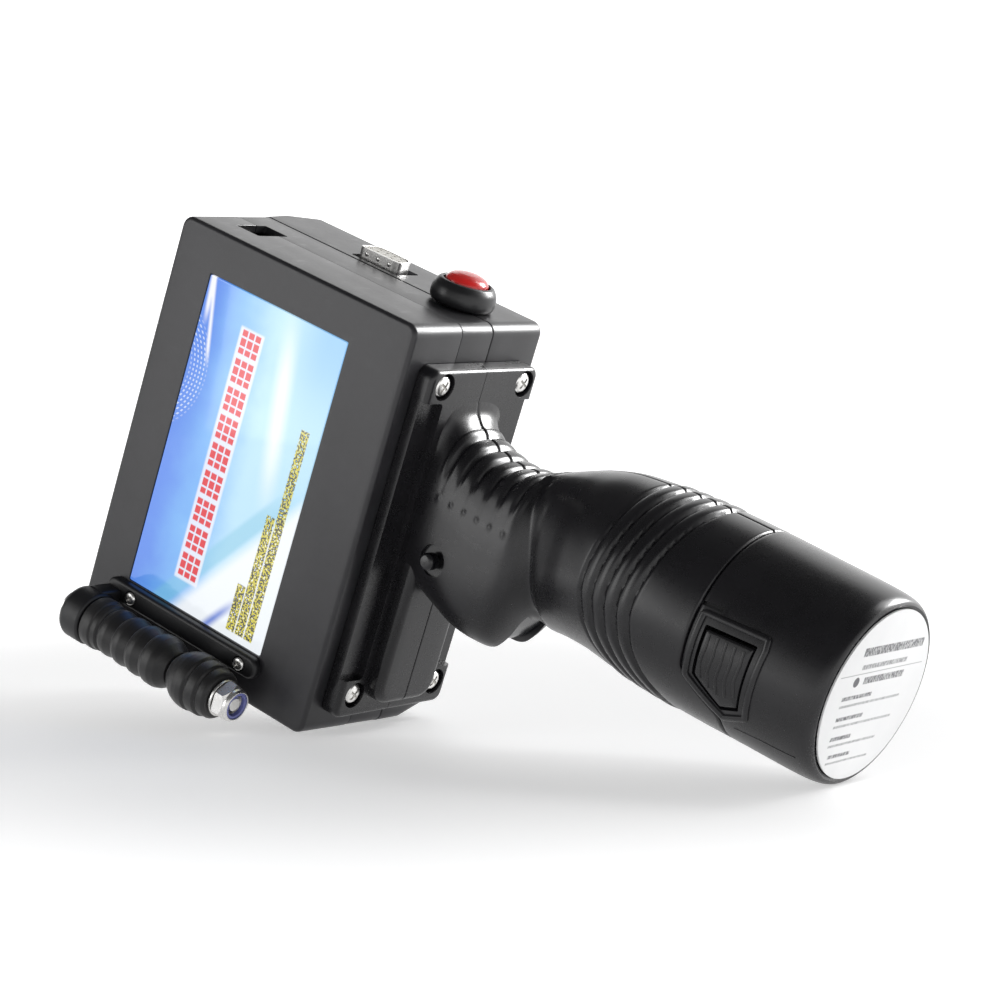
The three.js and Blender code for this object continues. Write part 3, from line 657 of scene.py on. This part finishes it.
def station(z):
    """Cubic through the stations, so the profile has no corners."""
    heights = STATIONS[:, 0]
    i = int(np.clip(np.searchsorted(-heights, -z) - 1, 0, len(heights) - 2))
    a, b = STATIONS[i], STATIONS[i + 1]
    before, after = STATIONS[max(i - 1, 0)], STATIONS[min(i + 2, len(heights) - 1)]
    t = min(1.0, max(0.0, (z - a[0]) / (b[0] - a[0])))
    m0 = (b - before) / ((b[0] - before[0]) or 1) * (b[0] - a[0])
    m1 = (after - a) / ((after[0] - a[0]) or 1) * (b[0] - a[0])
    p = ((2 * t ** 3 - 3 * t ** 2 + 1) * a + (t ** 3 - 2 * t ** 2 + t) * m0
         + (3 * t ** 2 - 2 * t ** 3) * b + (t ** 3 - t ** 2) * m1)
    return p[1:]


def skin(z, angle, inset=0.0):
    """A point of the plain handle surface at a height and an angle from the rear side."""
    rear, print_side, half, square = station(z)
    c, s = math.cos(angle), math.sin(angle)
    px = math.copysign(abs(c) ** (2 / square), c) * ((rear - print_side) / 2 - inset)
    py = math.copysign(abs(s) ** (2 / square), s) * (half - inset)
    return (rear + print_side) / 2, px, py


def round_from_rear(angle):
    """Degrees from the rear side, 0 to 180, the same on both sides."""
    return math.degrees(math.acos(max(-1.0, min(1.0, math.cos(angle)))))


def neck_relief(z, w, x):
    """Grooves, the crowns between them, and the flare that meets the flange."""
    reach = smooth((x - GROOVE_START_X) / GROOVE_RUN)
    faint = 0.06 if x > 77 else 0.0
    bump = BUMP_HEIGHT * math.exp(-((x - BUMP_X) / 0.5) ** 2)
    off = 0.0
    for level in NECK_GROOVES:
        t = (z - level) / 0.62
        if abs(t) < 3:
            off += (bump - faint - 0.85 * reach) * math.exp(-t * t)
    if -40 < z < -10:
        phase = ((z - NECK_START) / NECK_PITCH) % 1
        off += 0.42 * reach * 4 * phase * (1 - phase)
    if z > FLARE_TOP:
        t = min(1.0, (z - FLARE_TOP) / FLARE_RUN)
        off += FLARE_OUT * (1 - math.sqrt(max(0.0, 1 - t * t))) * smooth((70 - w) / 45)
    return off


def grip_relief(z, w):
    """Grooves of the grip and the crowns between them."""
    first = float(np.interp(w, *GRIP_RUN))
    pitch = 5 - 0.5 * smooth(w / 90)
    deep = 0.62 + 0.3 * smooth((80 - w) / 40)
    off = 0.0
    for k in range(GRIP_GROOVES):
        t = (z - (first - pitch * k)) / 0.58
        if abs(t) < 3:
            off -= deep * math.exp(-t * t)
    k = (first - z) / pitch
    if 0 < k < GRIP_GROOVES - 1:
        off += 0.4 * 4 * (k % 1) * (1 - k % 1)
    return off


def relief(z, angle, x):
    """How far the handle surface stands off the plain one, in mm."""
    w = round_from_rear(angle)
    off = 0.0
    if z > -42:
        off += neck_relief(z, w, x)
    if -62 < z < -32:
        t = (z + 50 - 0.278 * (x - 59)) / CREASE_WIDTH
        sides = smooth((w - 12) / 14) * smooth((168 - w) / 20)
        off -= CREASE_DEPTH * math.exp(-t * t) * sides
    if -112 < z < -66:
        off += grip_relief(z, w)
    return off


def handle_point(z, angle):
    """A point of the finished handle surface, with its lip at the joint and its parting line."""
    end = float(np.interp(round_from_rear(angle), *JOINT_RUN))
    if z < BEND_TOP:
        z = BEND_TOP + (z - BEND_TOP) * (end - BEND_TOP) / (BATTERY_TOP - BEND_TOP)
    cx, px, py = skin(z, angle)
    length = math.hypot(px, py)
    off = relief(z, angle, cx + px)
    lip = (z - end) / 0.6
    if lip < 1:
        off -= 0.5 * (1 - max(lip, 0)) ** 2
    if abs(py) < PARTING_WIDTH:
        off -= PARTING_DEPTH * (1 - abs(py) / PARTING_WIDTH) ** 2
    grow = 1 + off / length
    return cx + px * grow, MID + py * grow, z


def handle_half(side):
    """One closed half of the handle: a C-shaped section lofted down its height."""
    columns = 118
    spread = [math.pi * (k / columns) for k in range(columns + 1)]
    spread = sorted(spread + [math.pi * f for f in (0.0025, 0.005, 0.995, 0.9975)])
    rows = list(np.arange(-3.0, BATTERY_TOP, -0.46)) + [
        BATTERY_TOP + d for d in (0.45, 0.3, 0.15, 0.05, 0.0)]
    rows = sorted(set(round(float(z), 3) for z in rows), reverse=True)
    rings = []
    for z in rows:
        ring = []
        for a in spread:
            x, y, height = handle_point(z, side * a)
            y = MID + side * max(abs(y - MID), HALF_GAP)
            ring.append((x, y, height))
        for a in spread[::-1]:
            height = ring[spread.index(a)][2]
            if z < STEM_BAY_TOP:
                x = GRIP_X + STEM_BAY_R * math.cos(a)
                y = MID + side * STEM_BAY_R * math.sin(a)
            else:
                cx, px, py = skin(z, side * a, HANDLE_WALL)
                x = cx + px
                y = MID + py
            ring.append((x, MID + side * max(abs(y - MID), HALF_GAP), height))
        rings.append(ring)
    return loft(rings)


def handle_cuts():
    """Cutters for the power button's recess and the trigger's slot."""
    return [
        bar("y", POWER, 4.7, 6, 15.6, 48),
        block(30, 62, MID - 6.8, MID + 6.8, TRIGGER_Z[0] - 0.4, TRIGGER_Z[1] + 0.4),
    ]


def side_box(side, x0, x1, z0, z1):
    """A block that covers one side of the mid-plane."""
    far = MID + side * 60
    near = MID + side * 0.1
    y0, y1 = sorted((near, far))
    return block(x0, x1, y0, y1, z0, z1)


SCREW_X, SCREW_Y = (13.2, 106.8), (11.8, DEPTH - 10.2)
SCREW_POCKET_R = 3.95
# The flange is thinner along its two long edges, between these two X.
STEP_X, STEP_DEPTH = (18, 102), 2.1
for side, name in ((-1, "front"), (1, "rear")):
    node = f"handle_{name}_half"
    half = carve(handle_half(side), *handle_cuts())
    piece(half, f"grip_{name}", GRIP, [node], sharp=48)
    plate = pillow(6.2, 111.6, 5.6, DEPTH - 4.6, 3.2, "z", -FLANGE, -0.3, 1.5, (True, False))
    cuts = [block(45, 62, 20, 38, -9, 2)]
    for y0, y1 in ((1.0, 13.2), (DEPTH - 13.2, DEPTH)):
        step = rounded(*STEP_X, y0, y1, 1.4, 5)
        cuts.append(prism(step, "z", -FLANGE - 2, -FLANGE + STEP_DEPTH))
    for x in SCREW_X:
        for y in SCREW_Y:
            cuts.append(bar("z", (x, y, 0), SCREW_POCKET_R, -FLANGE - 3, -FLANGE + 2.6))
    carve(plate, *cuts)
    carve(plate, side_box(side, -5, 130, -20, 5), how="INTERSECT")
    piece(plate, f"flange_{name}", GRIP, [node], edge=0.55)
    foot = pillow(11, 60, 16.4, DEPTH - 16.4, 6, "z", -10.5, -4, 2.4, (True, False), 8)
    carve(foot, side_box(side, -5, 130, -20, 5), how="INTERSECT")
    piece(foot, f"foot_{name}", GRIP, [node], edge=0.3)

# ---------------- battery
BATTERY_COLUMNS = 200
JOINT_GAP = 0.3
# Heights of the skin's rows, from the joint down: close together at the lip and the end rounding.
BATTERY_ROWS = [0.0, 0.1, 0.25, 0.5, 0.9, 1.5, *np.arange(3.0, 38.0, 1.25),
                38.4, 39.0, 39.6, 40.1, 40.5, 40.8, 41.05, 41.4]


def battery_skin():
    """The round stem, the body below it and the flat end."""
    angles = [2 * math.pi * k / BATTERY_COLUMNS for k in range(BATTERY_COLUMNS)]
    rings = []
    for r, z in ((0.5, STEM_TOP), (19.6, STEM_TOP), (20.6, STEM_TOP - 0.3),
                 (21.1, STEM_TOP - 1.2), (STEM_R, STEM_TOP - 3), (STEM_R, BATTERY_TOP + 0.5)):
        rings.append([(GRIP_X + r * math.cos(a), MID + r * math.sin(a), z) for a in angles])
    deepest = BATTERY_ROWS[-1]
    for row in BATTERY_ROWS:
        ring = []
        for a in angles:
            top = float(np.interp(round_from_rear(a), *JOINT_RUN)) - JOINT_GAP
            fit = (top - BATTERY_END) / (BATTERY_TOP - JOINT_GAP - BATTERY_END)
            z = BATTERY_END + (deepest - row) * fit if row > 1.5 else top - row
            cx, px, py = skin(z, a)
            off = -0.7 * (1 - row / 0.9) ** 2 if row < 0.9 else 0.0
            grow = 1 + off / math.hypot(px, py)
            ring.append((cx + px * grow, MID + py * grow, z))
        rings.append(ring)
    for r, z in ((24.75, BATTERY_END), (24.5, BATTERY_END + 0.25), (0.5, BATTERY_END + 0.25)):
        rings.append([(GRIP_X + r * math.cos(a), MID + r * math.sin(a), z) for a in angles])
    return loft(rings)


def on_battery(side, degrees, z, lift):
    """A point on one side of the battery; degrees run from the rear side, as 270 is the front."""
    a = math.radians(degrees) * (1 if side < 0 else -1)
    cx, px, py = skin(z, a)
    grow = 1 + lift / math.hypot(px, py)
    return np.array((cx + px * grow, MID + py * grow, z))


def patch(side, corners, scale_levels, subdivide=9):
    """Skin over a four or more sided outline on the battery, following its curve."""
    middle = np.mean(corners, axis=0)
    outline = []
    for i, start in enumerate(corners):
        stop = corners[(i + 1) % len(corners)]
        for k in range(subdivide):
            outline.append(np.array(start) + (np.array(stop) - np.array(start)) * k / subdivide)
    outline = soften(outline, 0.9, 2, closed=True)
    rings = []
    for scale, lift in scale_levels:
        rings.append([tuple(on_battery(side, *(middle + (np.array(p) - middle) * scale), lift))
                      for p in outline])
    return loft(rings)


def ribbon(side, points, width, height, closed=True, subdivide=8):
    """A raised rounded strip along a run of (degrees, z) points on the battery."""
    fine = []
    count = len(points)
    for i in range(count if closed else count - 1):
        a, b = np.array(points[i], float), np.array(points[(i + 1) % count], float)
        fine.extend(a + (b - a) * k / subdivide for k in range(subdivide))
    if not closed:
        fine.append(np.array(points[-1], float))
    fine = [np.array(p) for p in soften(fine, 1.5, 3, closed=closed)]
    places = [on_battery(side, d, z, 0) for d, z in fine]
    ups = [on_battery(side, d, z, 1) - p for (d, z), p in zip(fine, places)]
    section = [(-0.5, -1.0), (-0.5, 0.3), (-0.42, 0.72), (-0.25, 0.95), (0, 1.0),
               (0.25, 0.95), (0.42, 0.72), (0.5, 0.3), (0.5, -1.0)]
    rings = []
    total = len(places)
    for i, (place, up) in enumerate(zip(places, ups)):
        ahead = places[(i + 1) % total] if closed or i < total - 1 else place
        behind = places[i - 1] if closed or i else place
        along = ahead - behind
        across = np.cross(along, up)
        across /= np.linalg.norm(across)
        rings.append([tuple(place + across * u * width + up * v * height) for u, v in section])
    return loft(rings, closed)


# Latches, as (degrees, height) points on the battery: the raised frame and the pad inside it.
FRAME_RUN = [(286.5, -109.9), (289.2, -129.6), (283, -130.2), (240, -129.2), (231.6, -122.0),
             (249.4, -109.6)]
PAD = [(279.5, -112.3), (281.6, -127.2), (243.5, -126.4), (238.2, -121.2), (251.8, -112.2)]
RIDGE_STARTS = (251.5, 248.2, 246.5, 247.5, 250.5)
RIDGE_TOP, RIDGE_PITCH = -113.9, 2.75
# A slot beside each frame, and a faint line below it.
NOTCH = [(291.5, -106), (293.0, -114.5), (290.6, -114.5), (289.0, -106)]
MOULD_LINE = [(226.2, -125.0), (228.6, -134), (229.4, -144.5)]
battery = battery_skin()
cuts = []
for side in (-1, 1):
    # the pocket widens inwards, to leave room for the pad when it is pressed
    cuts.append(patch(side, PAD, [(1.15, -4.4), (1.075, -0.4), (1.075, 2.0)]))
    cuts.append(patch(side, NOTCH, [(1.0, -1.6), (1.0, 2.0)]))
carve(battery, *cuts)
piece(battery, "battery_housing", GRIP, ["battery_case", "battery_end_cap"],
      "battery_body", sharp=48)
for side, name in ((-1, "front"), (1, "rear")):
    piece(ribbon(side, FRAME_RUN, 1.9, 0.75), f"latch_frame_{name}", GRIP,
          body="battery_body")
    pad = patch(side, PAD, [(0.98, -2.4), (0.98, -0.2), (0.96, 0.05), (0.9, 0.2), (0.6, 0.25),
                            (0.3, 0.25), (0.02, 0.25)])
    piece(pad, f"latch_pad_{name}", GRIP, [f"latch_button_{name}"],
          f"latch_{name}_body", sharp=60)
    for k, low in enumerate(RIDGE_STARTS):
        z = RIDGE_TOP - RIDGE_PITCH * k
        run = [(low, z - 0.5), (low + 9, z + 0.35), (low + 19, z - 0.2), (277.5, z + 0.1)]
        piece(ribbon(side, run, 0.95, 0.5, closed=False), f"latch_ridge_{name}_{k + 1}", GRIP,
              body=f"latch_{name}_body")
    piece(ribbon(side, MOULD_LINE, 0.5, 0.14, closed=False), f"mould_line_{name}", GRIP,
          body="battery_body")


# Plain bars of the label: centre and height, left and right ends, strength of the ink.
LABEL_BARS = (
    (13.2, 2.4, -13, 17, 1.0), (8.9, 1.3, -11.5, 11, 0.8), (4.9, 1.9, -8.5, 11.5, 1.0),
    (0.6, 1.1, -16.8, -2.0, 1.0), (-1.6, 0.7, -16.8, 13.5, 0.7), (-5.2, 1.1, -16.2, -3.0, 1.0),
    (-7.3, 0.7, -16.2, 12.5, 0.7), (-10.8, 1.1, -15.6, -5.5, 1.0), (-12.8, 0.7, -15.6, 8, 0.7),
    (-16.0, 1.0, -13.8, -3.0, 1.0), (-17.9, 0.6, -13.8, 7, 0.7),
)


def label_look():
    """White film with plain grey bars, a thin rule and a dot."""
    look = Look("label_film", 0.28, Coat_Weight=0.35)
    x, y, _ = look.axes()
    u = y - MID
    v = x - GRIP_X
    grey = look.noise(2.6, 2.0, 0.5, (0.35, 1.0, 1.0)).step(0.42, 0.56)
    ink = None
    for centre, tall, left, right, strength in LABEL_BARS:
        low = centre - tall / 2
        stroke = v.between(low, centre + tall / 2, 0.12) * u.between(left, right, 0.15)
        stroke = stroke * strength * (0.45 + grey * 0.55)
        ink = stroke if ink is None else ink + stroke
    rule = v.between(6.95, 7.2, 0.06) * u.between(-21, 20, 0.3) * 0.6
    spot = ((u + 12.2).math("POWER", 2.0) + (v - 4.9).math("POWER", 2.0)).math("SQRT")
    ink = (ink + rule + (1.0 - spot.step(1.25, 1.5))).math("MINIMUM", 1.0)
    paper_tone = look.mix(look.noise(0.2, 3.0), (0.9, 0.9, 0.9), (0.84, 0.845, 0.85))
    look.set("Base Color", look.mix(ink, paper_tone, (0.09, 0.09, 0.1)))
    look.set("Roughness", 0.28 + ink * 0.12)
    look.bump((look.noise(1.2, 2.0), 0.012))
    return look.material


label = turned("z", (GRIP_X, MID, 0), [
    [0.0, BATTERY_END - 0.5], [23.5, BATTERY_END - 0.5], [23.8, BATTERY_END - 0.4],
    [23.8, BATTERY_END + 0.1], [0.0, BATTERY_END + 0.1]], 120)
piece(label, "battery_label_film", label_look(), ["battery_label"], "battery_body")

# ---------------- trigger and power button
trigger = prism(soften([(56.4, TRIGGER_Z[0]), (50.6, TRIGGER_Z[0] + 3.2),
                        (44.4, TRIGGER_Z[0] + 7.6), (41.5, TRIGGER_Z[0] + 13), (41.2, -30),
                        (43.6, TRIGGER_Z[1]), (56.4, TRIGGER_Z[1])], 2.2, 6, closed=True),
                "y", MID - 6.4, MID + 6.4)
piece(trigger, "trigger_lever", GLOSSY, ["trigger"], "trigger_body",
      edge=1.3, segments=5)
knob = turned("y", POWER, [[0, 10.6], [1.8, 10.7], [2.5, 11.3], [2.5, 14.3], [1.8, 14.3],
                           [1.8, 18.8], [0, 18.8]], 56, 0.5)
piece(knob, "power_button_cap", GLOSSY, ["power_button"], "power_button_body")

# ---------------- ports and push button
def d_outline(grow):
    """The tapered outline of the serial port, as Y and Z round its centre."""
    half, low = 8.2 + grow, 3.95 + grow
    return soften([(-low, -half), (low, -half + 1.5), (low, half - 1.5), (-low, half)],
                  2.6, 8, closed=True)


def d_bar(grow, x0, x1):
    """A bar with that outline, along X."""
    return prism([(PORT[0] + u, PORT[1] + v) for u, v in d_outline(grow)], "x", x0, x1)


SLEEVE_WALL = 0.55
shell = carve(d_bar(0, WIDTH - 3.3, WIDTH + 3.2), d_bar(-SLEEVE_WALL, WIDTH - 8, WIDTH + 8))
piece(shell, "serial_port_sleeve", ZINC, ["serial_port_shell"], edge=0.12)
plate = carve(prism(rounded(36.6, 48.6, 41, 58.1, 0.8), "x", WIDTH - 4.4, WIDTH - 3),
              d_bar(-SLEEVE_WALL, WIDTH - 8, WIDTH + 2))
piece(plate, "serial_port_plate", ZINC, edge=0.15)
for row, u in enumerate((-3.95, 3.95)):
    for k in range(3):
        dimple = turned("y", (WIDTH + 1.6, PORT[0] + u, PORT[1] + (k - 1) * 4.4), [
            [0.0, -0.28], [0.4, -0.24], [0.7, -0.08], [0.75, 0.08], [0.7, 0.2], [0.0, 0.28]], 20)
        piece(dimple, f"port_dimple_{row + 1}_{k + 1}", ZINC)
insert = d_bar(-0.85, WIDTH - 9, WIDTH + 3.0)
PIN_PITCH = 2.74
pins = []
for row, count in ((-1.4, 5), (1.4, 4)):
    for k in range(count):
        z = PORT[1] + (k - (count - 1) / 2) * PIN_PITCH
        pins.append(bar("x", (WIDTH, PORT[0] + row, z), 0.5, -1, 6, 16))
carve(insert, *pins)
piece(insert, "serial_port_core", PALE, ["serial_port_insert"], edge=0.12)

bezel = turned("x", BUTTON, [
    [6.9, 0.25], [8.9, 0.25], [9.5, 1.4], [9.6, 3.2], [9.1, 5.4], [8.0, 6.9], [7.2, 7.1],
    [6.9, 6.7], [6.9, 0.25]], 96, 0.9)
piece(bezel, "button_collar", BEZEL, ["button_bezel"])
cap = turned("x", BUTTON, [
    [0, -5], [2.2, -5], [2.2, 3.2], [6.2, 3.2], [6.4, 6.6], [6.1, 7.7], [5, 8.7], [3, 9.4],
    [1.2, 9.66], [0, 9.7]], 96, 0.5)
piece(cap, "red_push_cap", RED, ["red_button_cap"], "red_button_body")

# ---------------- guide roller
def on_bolt(profile, segments, radius=0.0):
    """A turned solid round the roller's bolt."""
    return turned("z", ROLLER, profile, segments, radius)


BRACKET_SCREW_X, BRACKET_SCREW_Z = 9.8, (71.6, 26.2)
strip = pillow(6.9, 13.4, 19.5, 82, 3.2, "y", -2.8, -0.3, 1.1, (True, False))
cuts = [bar("y", (BRACKET_SCREW_X, 0, z), 2.3, -6, -1.6) for z in BRACKET_SCREW_Z]
carve(strip, *cuts)
piece(strip, "bracket_strip", DARK, ["roller_bracket"], edge=0.2)
lug = on_bolt([[3.1, 75.8], [7.5, 75.8], [8.1, 76.3], [8.15, 82.4], [7.4, 83.8],
               [5.6, 83.8], [5.4, 83.2], [3.1, 83.2], [3.1, 75.8]], 80, 0.5)
piece(lug, "bracket_lug", DARK, ["roller_bracket"])
web = pillow(4.4, 10.8, -11, -0.6, 1.2, "z", 75.5, 81.3, 0.8)
carve(web, bar("z", ROLLER, 5, 60, 100))
piece(web, "bracket_web", DARK, ["roller_bracket"])

# Outlines of the two rollers, as (height, radius) points.
ROLLER_BORE = 3.3
LONG_RIBS = [(75.4, 6.9), (75.1, 7.6), (73.2, 7.75), (71.4, 7.7), (71.0, 7.2), (69.2, 7.2)]
for groove, r in ((68.6, 7.3), (62.6, 7.5), (56.5, 7.7), (50.4, 7.9)):
    LONG_RIBS += [(groove, r - 1.0), (groove - 0.5, r - 0.45), (groove - 1.6, r - 0.05),
                  (groove - 3.2, r)]
LONG_RIBS += [(46.2, 7.9), (44.2, 7.2), (42.6, 6.0), (41.4, 5.2)]
SHORT_RIBS = [(40.8, 5.0), (39.4, 6.4), (37.2, 7.7), (35.2, 8.4), (33.4, 8.6), (31.6, 8.5),
              (31.0, 7.7), (30.3, 8.2), (27.3, 8.1), (26.8, 7.2), (26.1, 7.5), (24.2, 7.3),
              (23.3, 6.6)]
for run, name in ((LONG_RIBS, "long_roller"), (SHORT_RIBS, "short_roller")):
    profile = [[r, z] for z, r in run]
    profile += [[ROLLER_BORE, run[-1][0]], [ROLLER_BORE, run[0][0]], profile[0]]
    piece(on_bolt(profile, 80, 0.28), name + "_sleeve", RUBBER, [name],
          name + "_body")


def hexagon(radius):
    """Six corners round the roller's bolt, as X and Y."""
    angles = [k * math.pi / 3 for k in range(6)]
    return [(ROLLER[0] + radius * math.cos(a), ROLLER[1] + radius * math.sin(a)) for a in angles]


nut = prism(hexagon(5.77), "z", ROLLER[2] + 21.8, ROLLER[2] + 17.9)
carve(nut, on_bolt([[0, 21.8], [5.3, 21.8], [6.4, 21.1], [6.4, 19.4], [4.85, 18.1],
                    [0, 18.0]], 72), how="INTERSECT")
collar = on_bolt([[3.2, 18.8], [4.9, 18.8], [4.85, 17.4], [4.45, 16.7], [4.05, 16.7],
                  [4.05, 18.2], [3.2, 18.4], [3.2, 18.8]], 64, 0.15)
carve(nut, bar("z", ROLLER, 3.15, 10, 30))
piece(nut, "nut_hexagon", ZINC, ["lock_nut"], edge=0.16, sharp=25)
piece(collar, "nut_collar", ZINC, ["lock_nut"])
ring = on_bolt([[3.1, 17.0], [4.0, 17.0], [4.0, 18.4], [3.1, 18.4], [3.1, 17.0]], 56, 0.25)
piece(ring, "nut_ring", VIOLET, ["nut_insert"])
washer = on_bolt([[3.2, 22.1], [5.6, 22.1], [5.6, 23.0], [3.2, 23.0], [3.2, 22.1]], 64, 0.2)
piece(washer, "washer", ZINC, ["roller_washer"])

THREAD_TOP, THREAD_END, THREAD_PITCH = 75.0, 19.2, 0.9
CREST_R, ROOT_R = 2.95, 2.62
THREAD = []
z = THREAD_TOP
while z > THREAD_END:
    THREAD += [[CREST_R, z], [ROOT_R, z - THREAD_PITCH / 2]]
    z -= THREAD_PITCH
bolt = on_bolt([[0, 86.6], [4.3, 86.6], [5, 86.0], [5, 84.1], [CREST_R, 84.1],
                *THREAD, [2.3, 18.3], [1.9, 17.8], [0, 17.8]], 40)
carve(bolt, prism(hexagon(2.3), "z", 83.2, 88))
piece(bolt, "roller_shaft", ZINC, ["roller_bolt"], sharp=30)

# ---------------- screws
CROSS_TURN = 0.6


def pan_screw(name, axis, centre, radius, out, node):
    """Pan head with a cross recess; out is the way the head faces along its axis."""
    profile = [[0, -2.0], [0.42 * radius, -2.0], [0.45 * radius, 0], [radius, 0],
               [radius, 0.38 * radius], [0.8 * radius, 0.6 * radius], [0.4 * radius, 0.7 * radius],
               [0, 0.72 * radius]]
    head = turned(axis, centre, [[r, h * out] for r, h in profile], 48, 0.18 * radius)
    arm, thick = 0.56 * radius, 0.12 * radius
    deep = sorted((0.28 * radius * out, 2.0 * radius * out))
    arms = []
    for u, v in ((arm, thick), (thick, arm)):
        spans = lay_on(axis)((-u, u), (-v, v), deep)
        cross = block(*(c + d for c, span in zip(centre, spans) for d in span))
        cross.matrix_world = (TO_ROW @ Matrix.Translation(centre)
                              @ Matrix.Rotation(CROSS_TURN, 4, axis.upper())
                              @ Matrix.Translation([-c for c in centre]))
        arms.append(cross)
    carve(head, *arms)
    piece(head, name, ZINC, [node])


flange_places = [(x, y, -FLANGE + 2.3) for x in SCREW_X for y in SCREW_Y]
for k, place in enumerate(flange_places, 1):
    pan_screw(f"flange_screw_head_{k}", "z", place, 3.15, -1, f"flange_screw_{k}")
for k, z in enumerate(BRACKET_SCREW_Z, 1):
    pan_screw(f"bracket_screw_head_{k}", "y", (BRACKET_SCREW_X, -1.9, z), 2.0, -1,
              f"bracket_screw_{k}")

# ---------------- pieces kept from the frame
# Each node that keeps its own shape: its look and the rounding of its edges.
KEPT = {
    "display_module": (STEEL, 0.3), "main_board": (BOARD, 0.15), "board_processor": (DARK, 0.15),
    "usb_socket": (ZINC, 0.1), "usb_tongue": (DARK, 0.12), "button_switch_body": (DARK, 0.2),
    "button_lock_nut": (ZINC, 0.25), "trigger_switch": (DARK, 0.3), "power_switch": (DARK, 0.2),
    **{f"battery_cell_{k}": (WRAP, 0.5) for k in (1, 2, 3)},
    "battery_contact_block": (DARK, 0.4), "ink_cartridge": (DARK, 0.0), "print_head": (GOLD, 0.1),
    "cartridge_cradle": (DARK, 0.4), "contact_board": (BOARD, 0.15),
    "print_face_plate": (STEEL, 0.2),
}
OWNER = {node: body for body, nodes in frame["record"]["behaviour"]["bodies"].items()
         for node in nodes}
for node, (look, edge) in KEPT.items():
    piece(copy_of(node), node + "_detail", look, [node], OWNER[node], edge)

# ---------------- camera, lights and floor
EYE = (0.4889, -0.6309, 0.1307)
AIM = (0.0118, 0.0, 0.0685)
ROLL = -0.28
LENS, SENSOR = 104.3, 36

camera_data = bpy.data.cameras.new("camera")
camera_data.lens = LENS
camera_data.sensor_width = SENSOR
camera = add_object("camera", camera_data)
aim = Vector(AIM) - Vector(EYE)
turn = aim.to_track_quat("-Z", "Y").to_matrix().to_4x4()
camera.matrix_world = (
    Matrix.Translation(EYE) @ turn @ Matrix.Rotation(math.radians(-ROLL), 4, "Z"))
bpy.context.scene.camera = camera


def softbox(name, place, target, width, height, power):
    """A white rectangular lamp that faces its target."""
    data = bpy.data.lights.new(name, "AREA")
    data.shape = "RECTANGLE"
    data.size = width
    data.size_y = height
    data.energy = power
    lamp = add_object(name, data)
    lamp.location = place
    lamp.rotation_euler = (Vector(target) - Vector(place)).to_track_quat("-Z", "Y").to_euler()
    return lamp


CENTRE = (0.0, 0.0, 0.07)
rim = softbox("rim_softbox", (0.6, 1.04, 0.65), CENTRE, 0.5, 0.55, 34.0)
rim.visible_diffuse = False
softbox("key_softbox", (0.5, 0.7, 1.0), CENTRE, 0.4, 0.4, 2.5)
softbox("fill_softbox", (-0.75, -0.95, 0.35), CENTRE, 0.5, 0.7, 2.4)

# The walls of the studio are white and its ceiling is dark; the far wall is white higher up.
world = bpy.data.worlds.new("studio")
world.use_nodes = True
tree = world.node_tree
way = tree.nodes.new("ShaderNodeSeparateXYZ")
tree.links.new(tree.nodes.new("ShaderNodeTexCoord").outputs["Generated"], way.inputs[0])
toward, up = Wire(tree, way.outputs[1]), Wire(tree, way.outputs[2])
wall = toward.step(0.2, 0.6)
ceiling = (up - wall * 0.5).step(0.12, 0.42)
plug(tree, 0.1 + (1.0 - ceiling) * (0.72 + wall * 0.8), tree.nodes["Background"].inputs["Strength"])
tree.nodes["Background"].inputs["Color"].default_value = (1.0, 1.0, 1.0, 1.0)
bpy.context.scene.world = world
bpy.context.scene.view_settings.view_transform = "Standard"

# White paper floor that glows: its glow is turned down round the printer as painted shade, and
# burnt out to white beyond it.
paper = Look("floor_paper", 0.6)
x, y, _ = paper.axes()
away = ((x + 0.07).math("POWER", 2.0) + (y - 0.02).math("POWER", 2.0)).math("SQRT")
paper.set("Base Color", (0.8, 0.8, 0.805, 1.0))
paper.set("Specular IOR Level", 0.1)
paper.set("Emission Color", (1.0, 1.0, 1.0, 1.0))
# painted shade: the floor glows less close to the printer and fully from about 0.34 m away
paper.set("Emission Strength", 0.43 + away.step(0.13, 0.34) * 0.4)
REACH = 12.0
floor_mesh = bpy.data.meshes.new("floor")
floor_mesh.from_pydata(
    [(-REACH, -REACH, 0), (REACH, -REACH, 0), (REACH, REACH, 0), (-REACH, REACH, 0)],
    [], [(0, 1, 2, 3)])
floor_mesh.materials.append(paper.material)
floor = add_object("floor", floor_mesh)
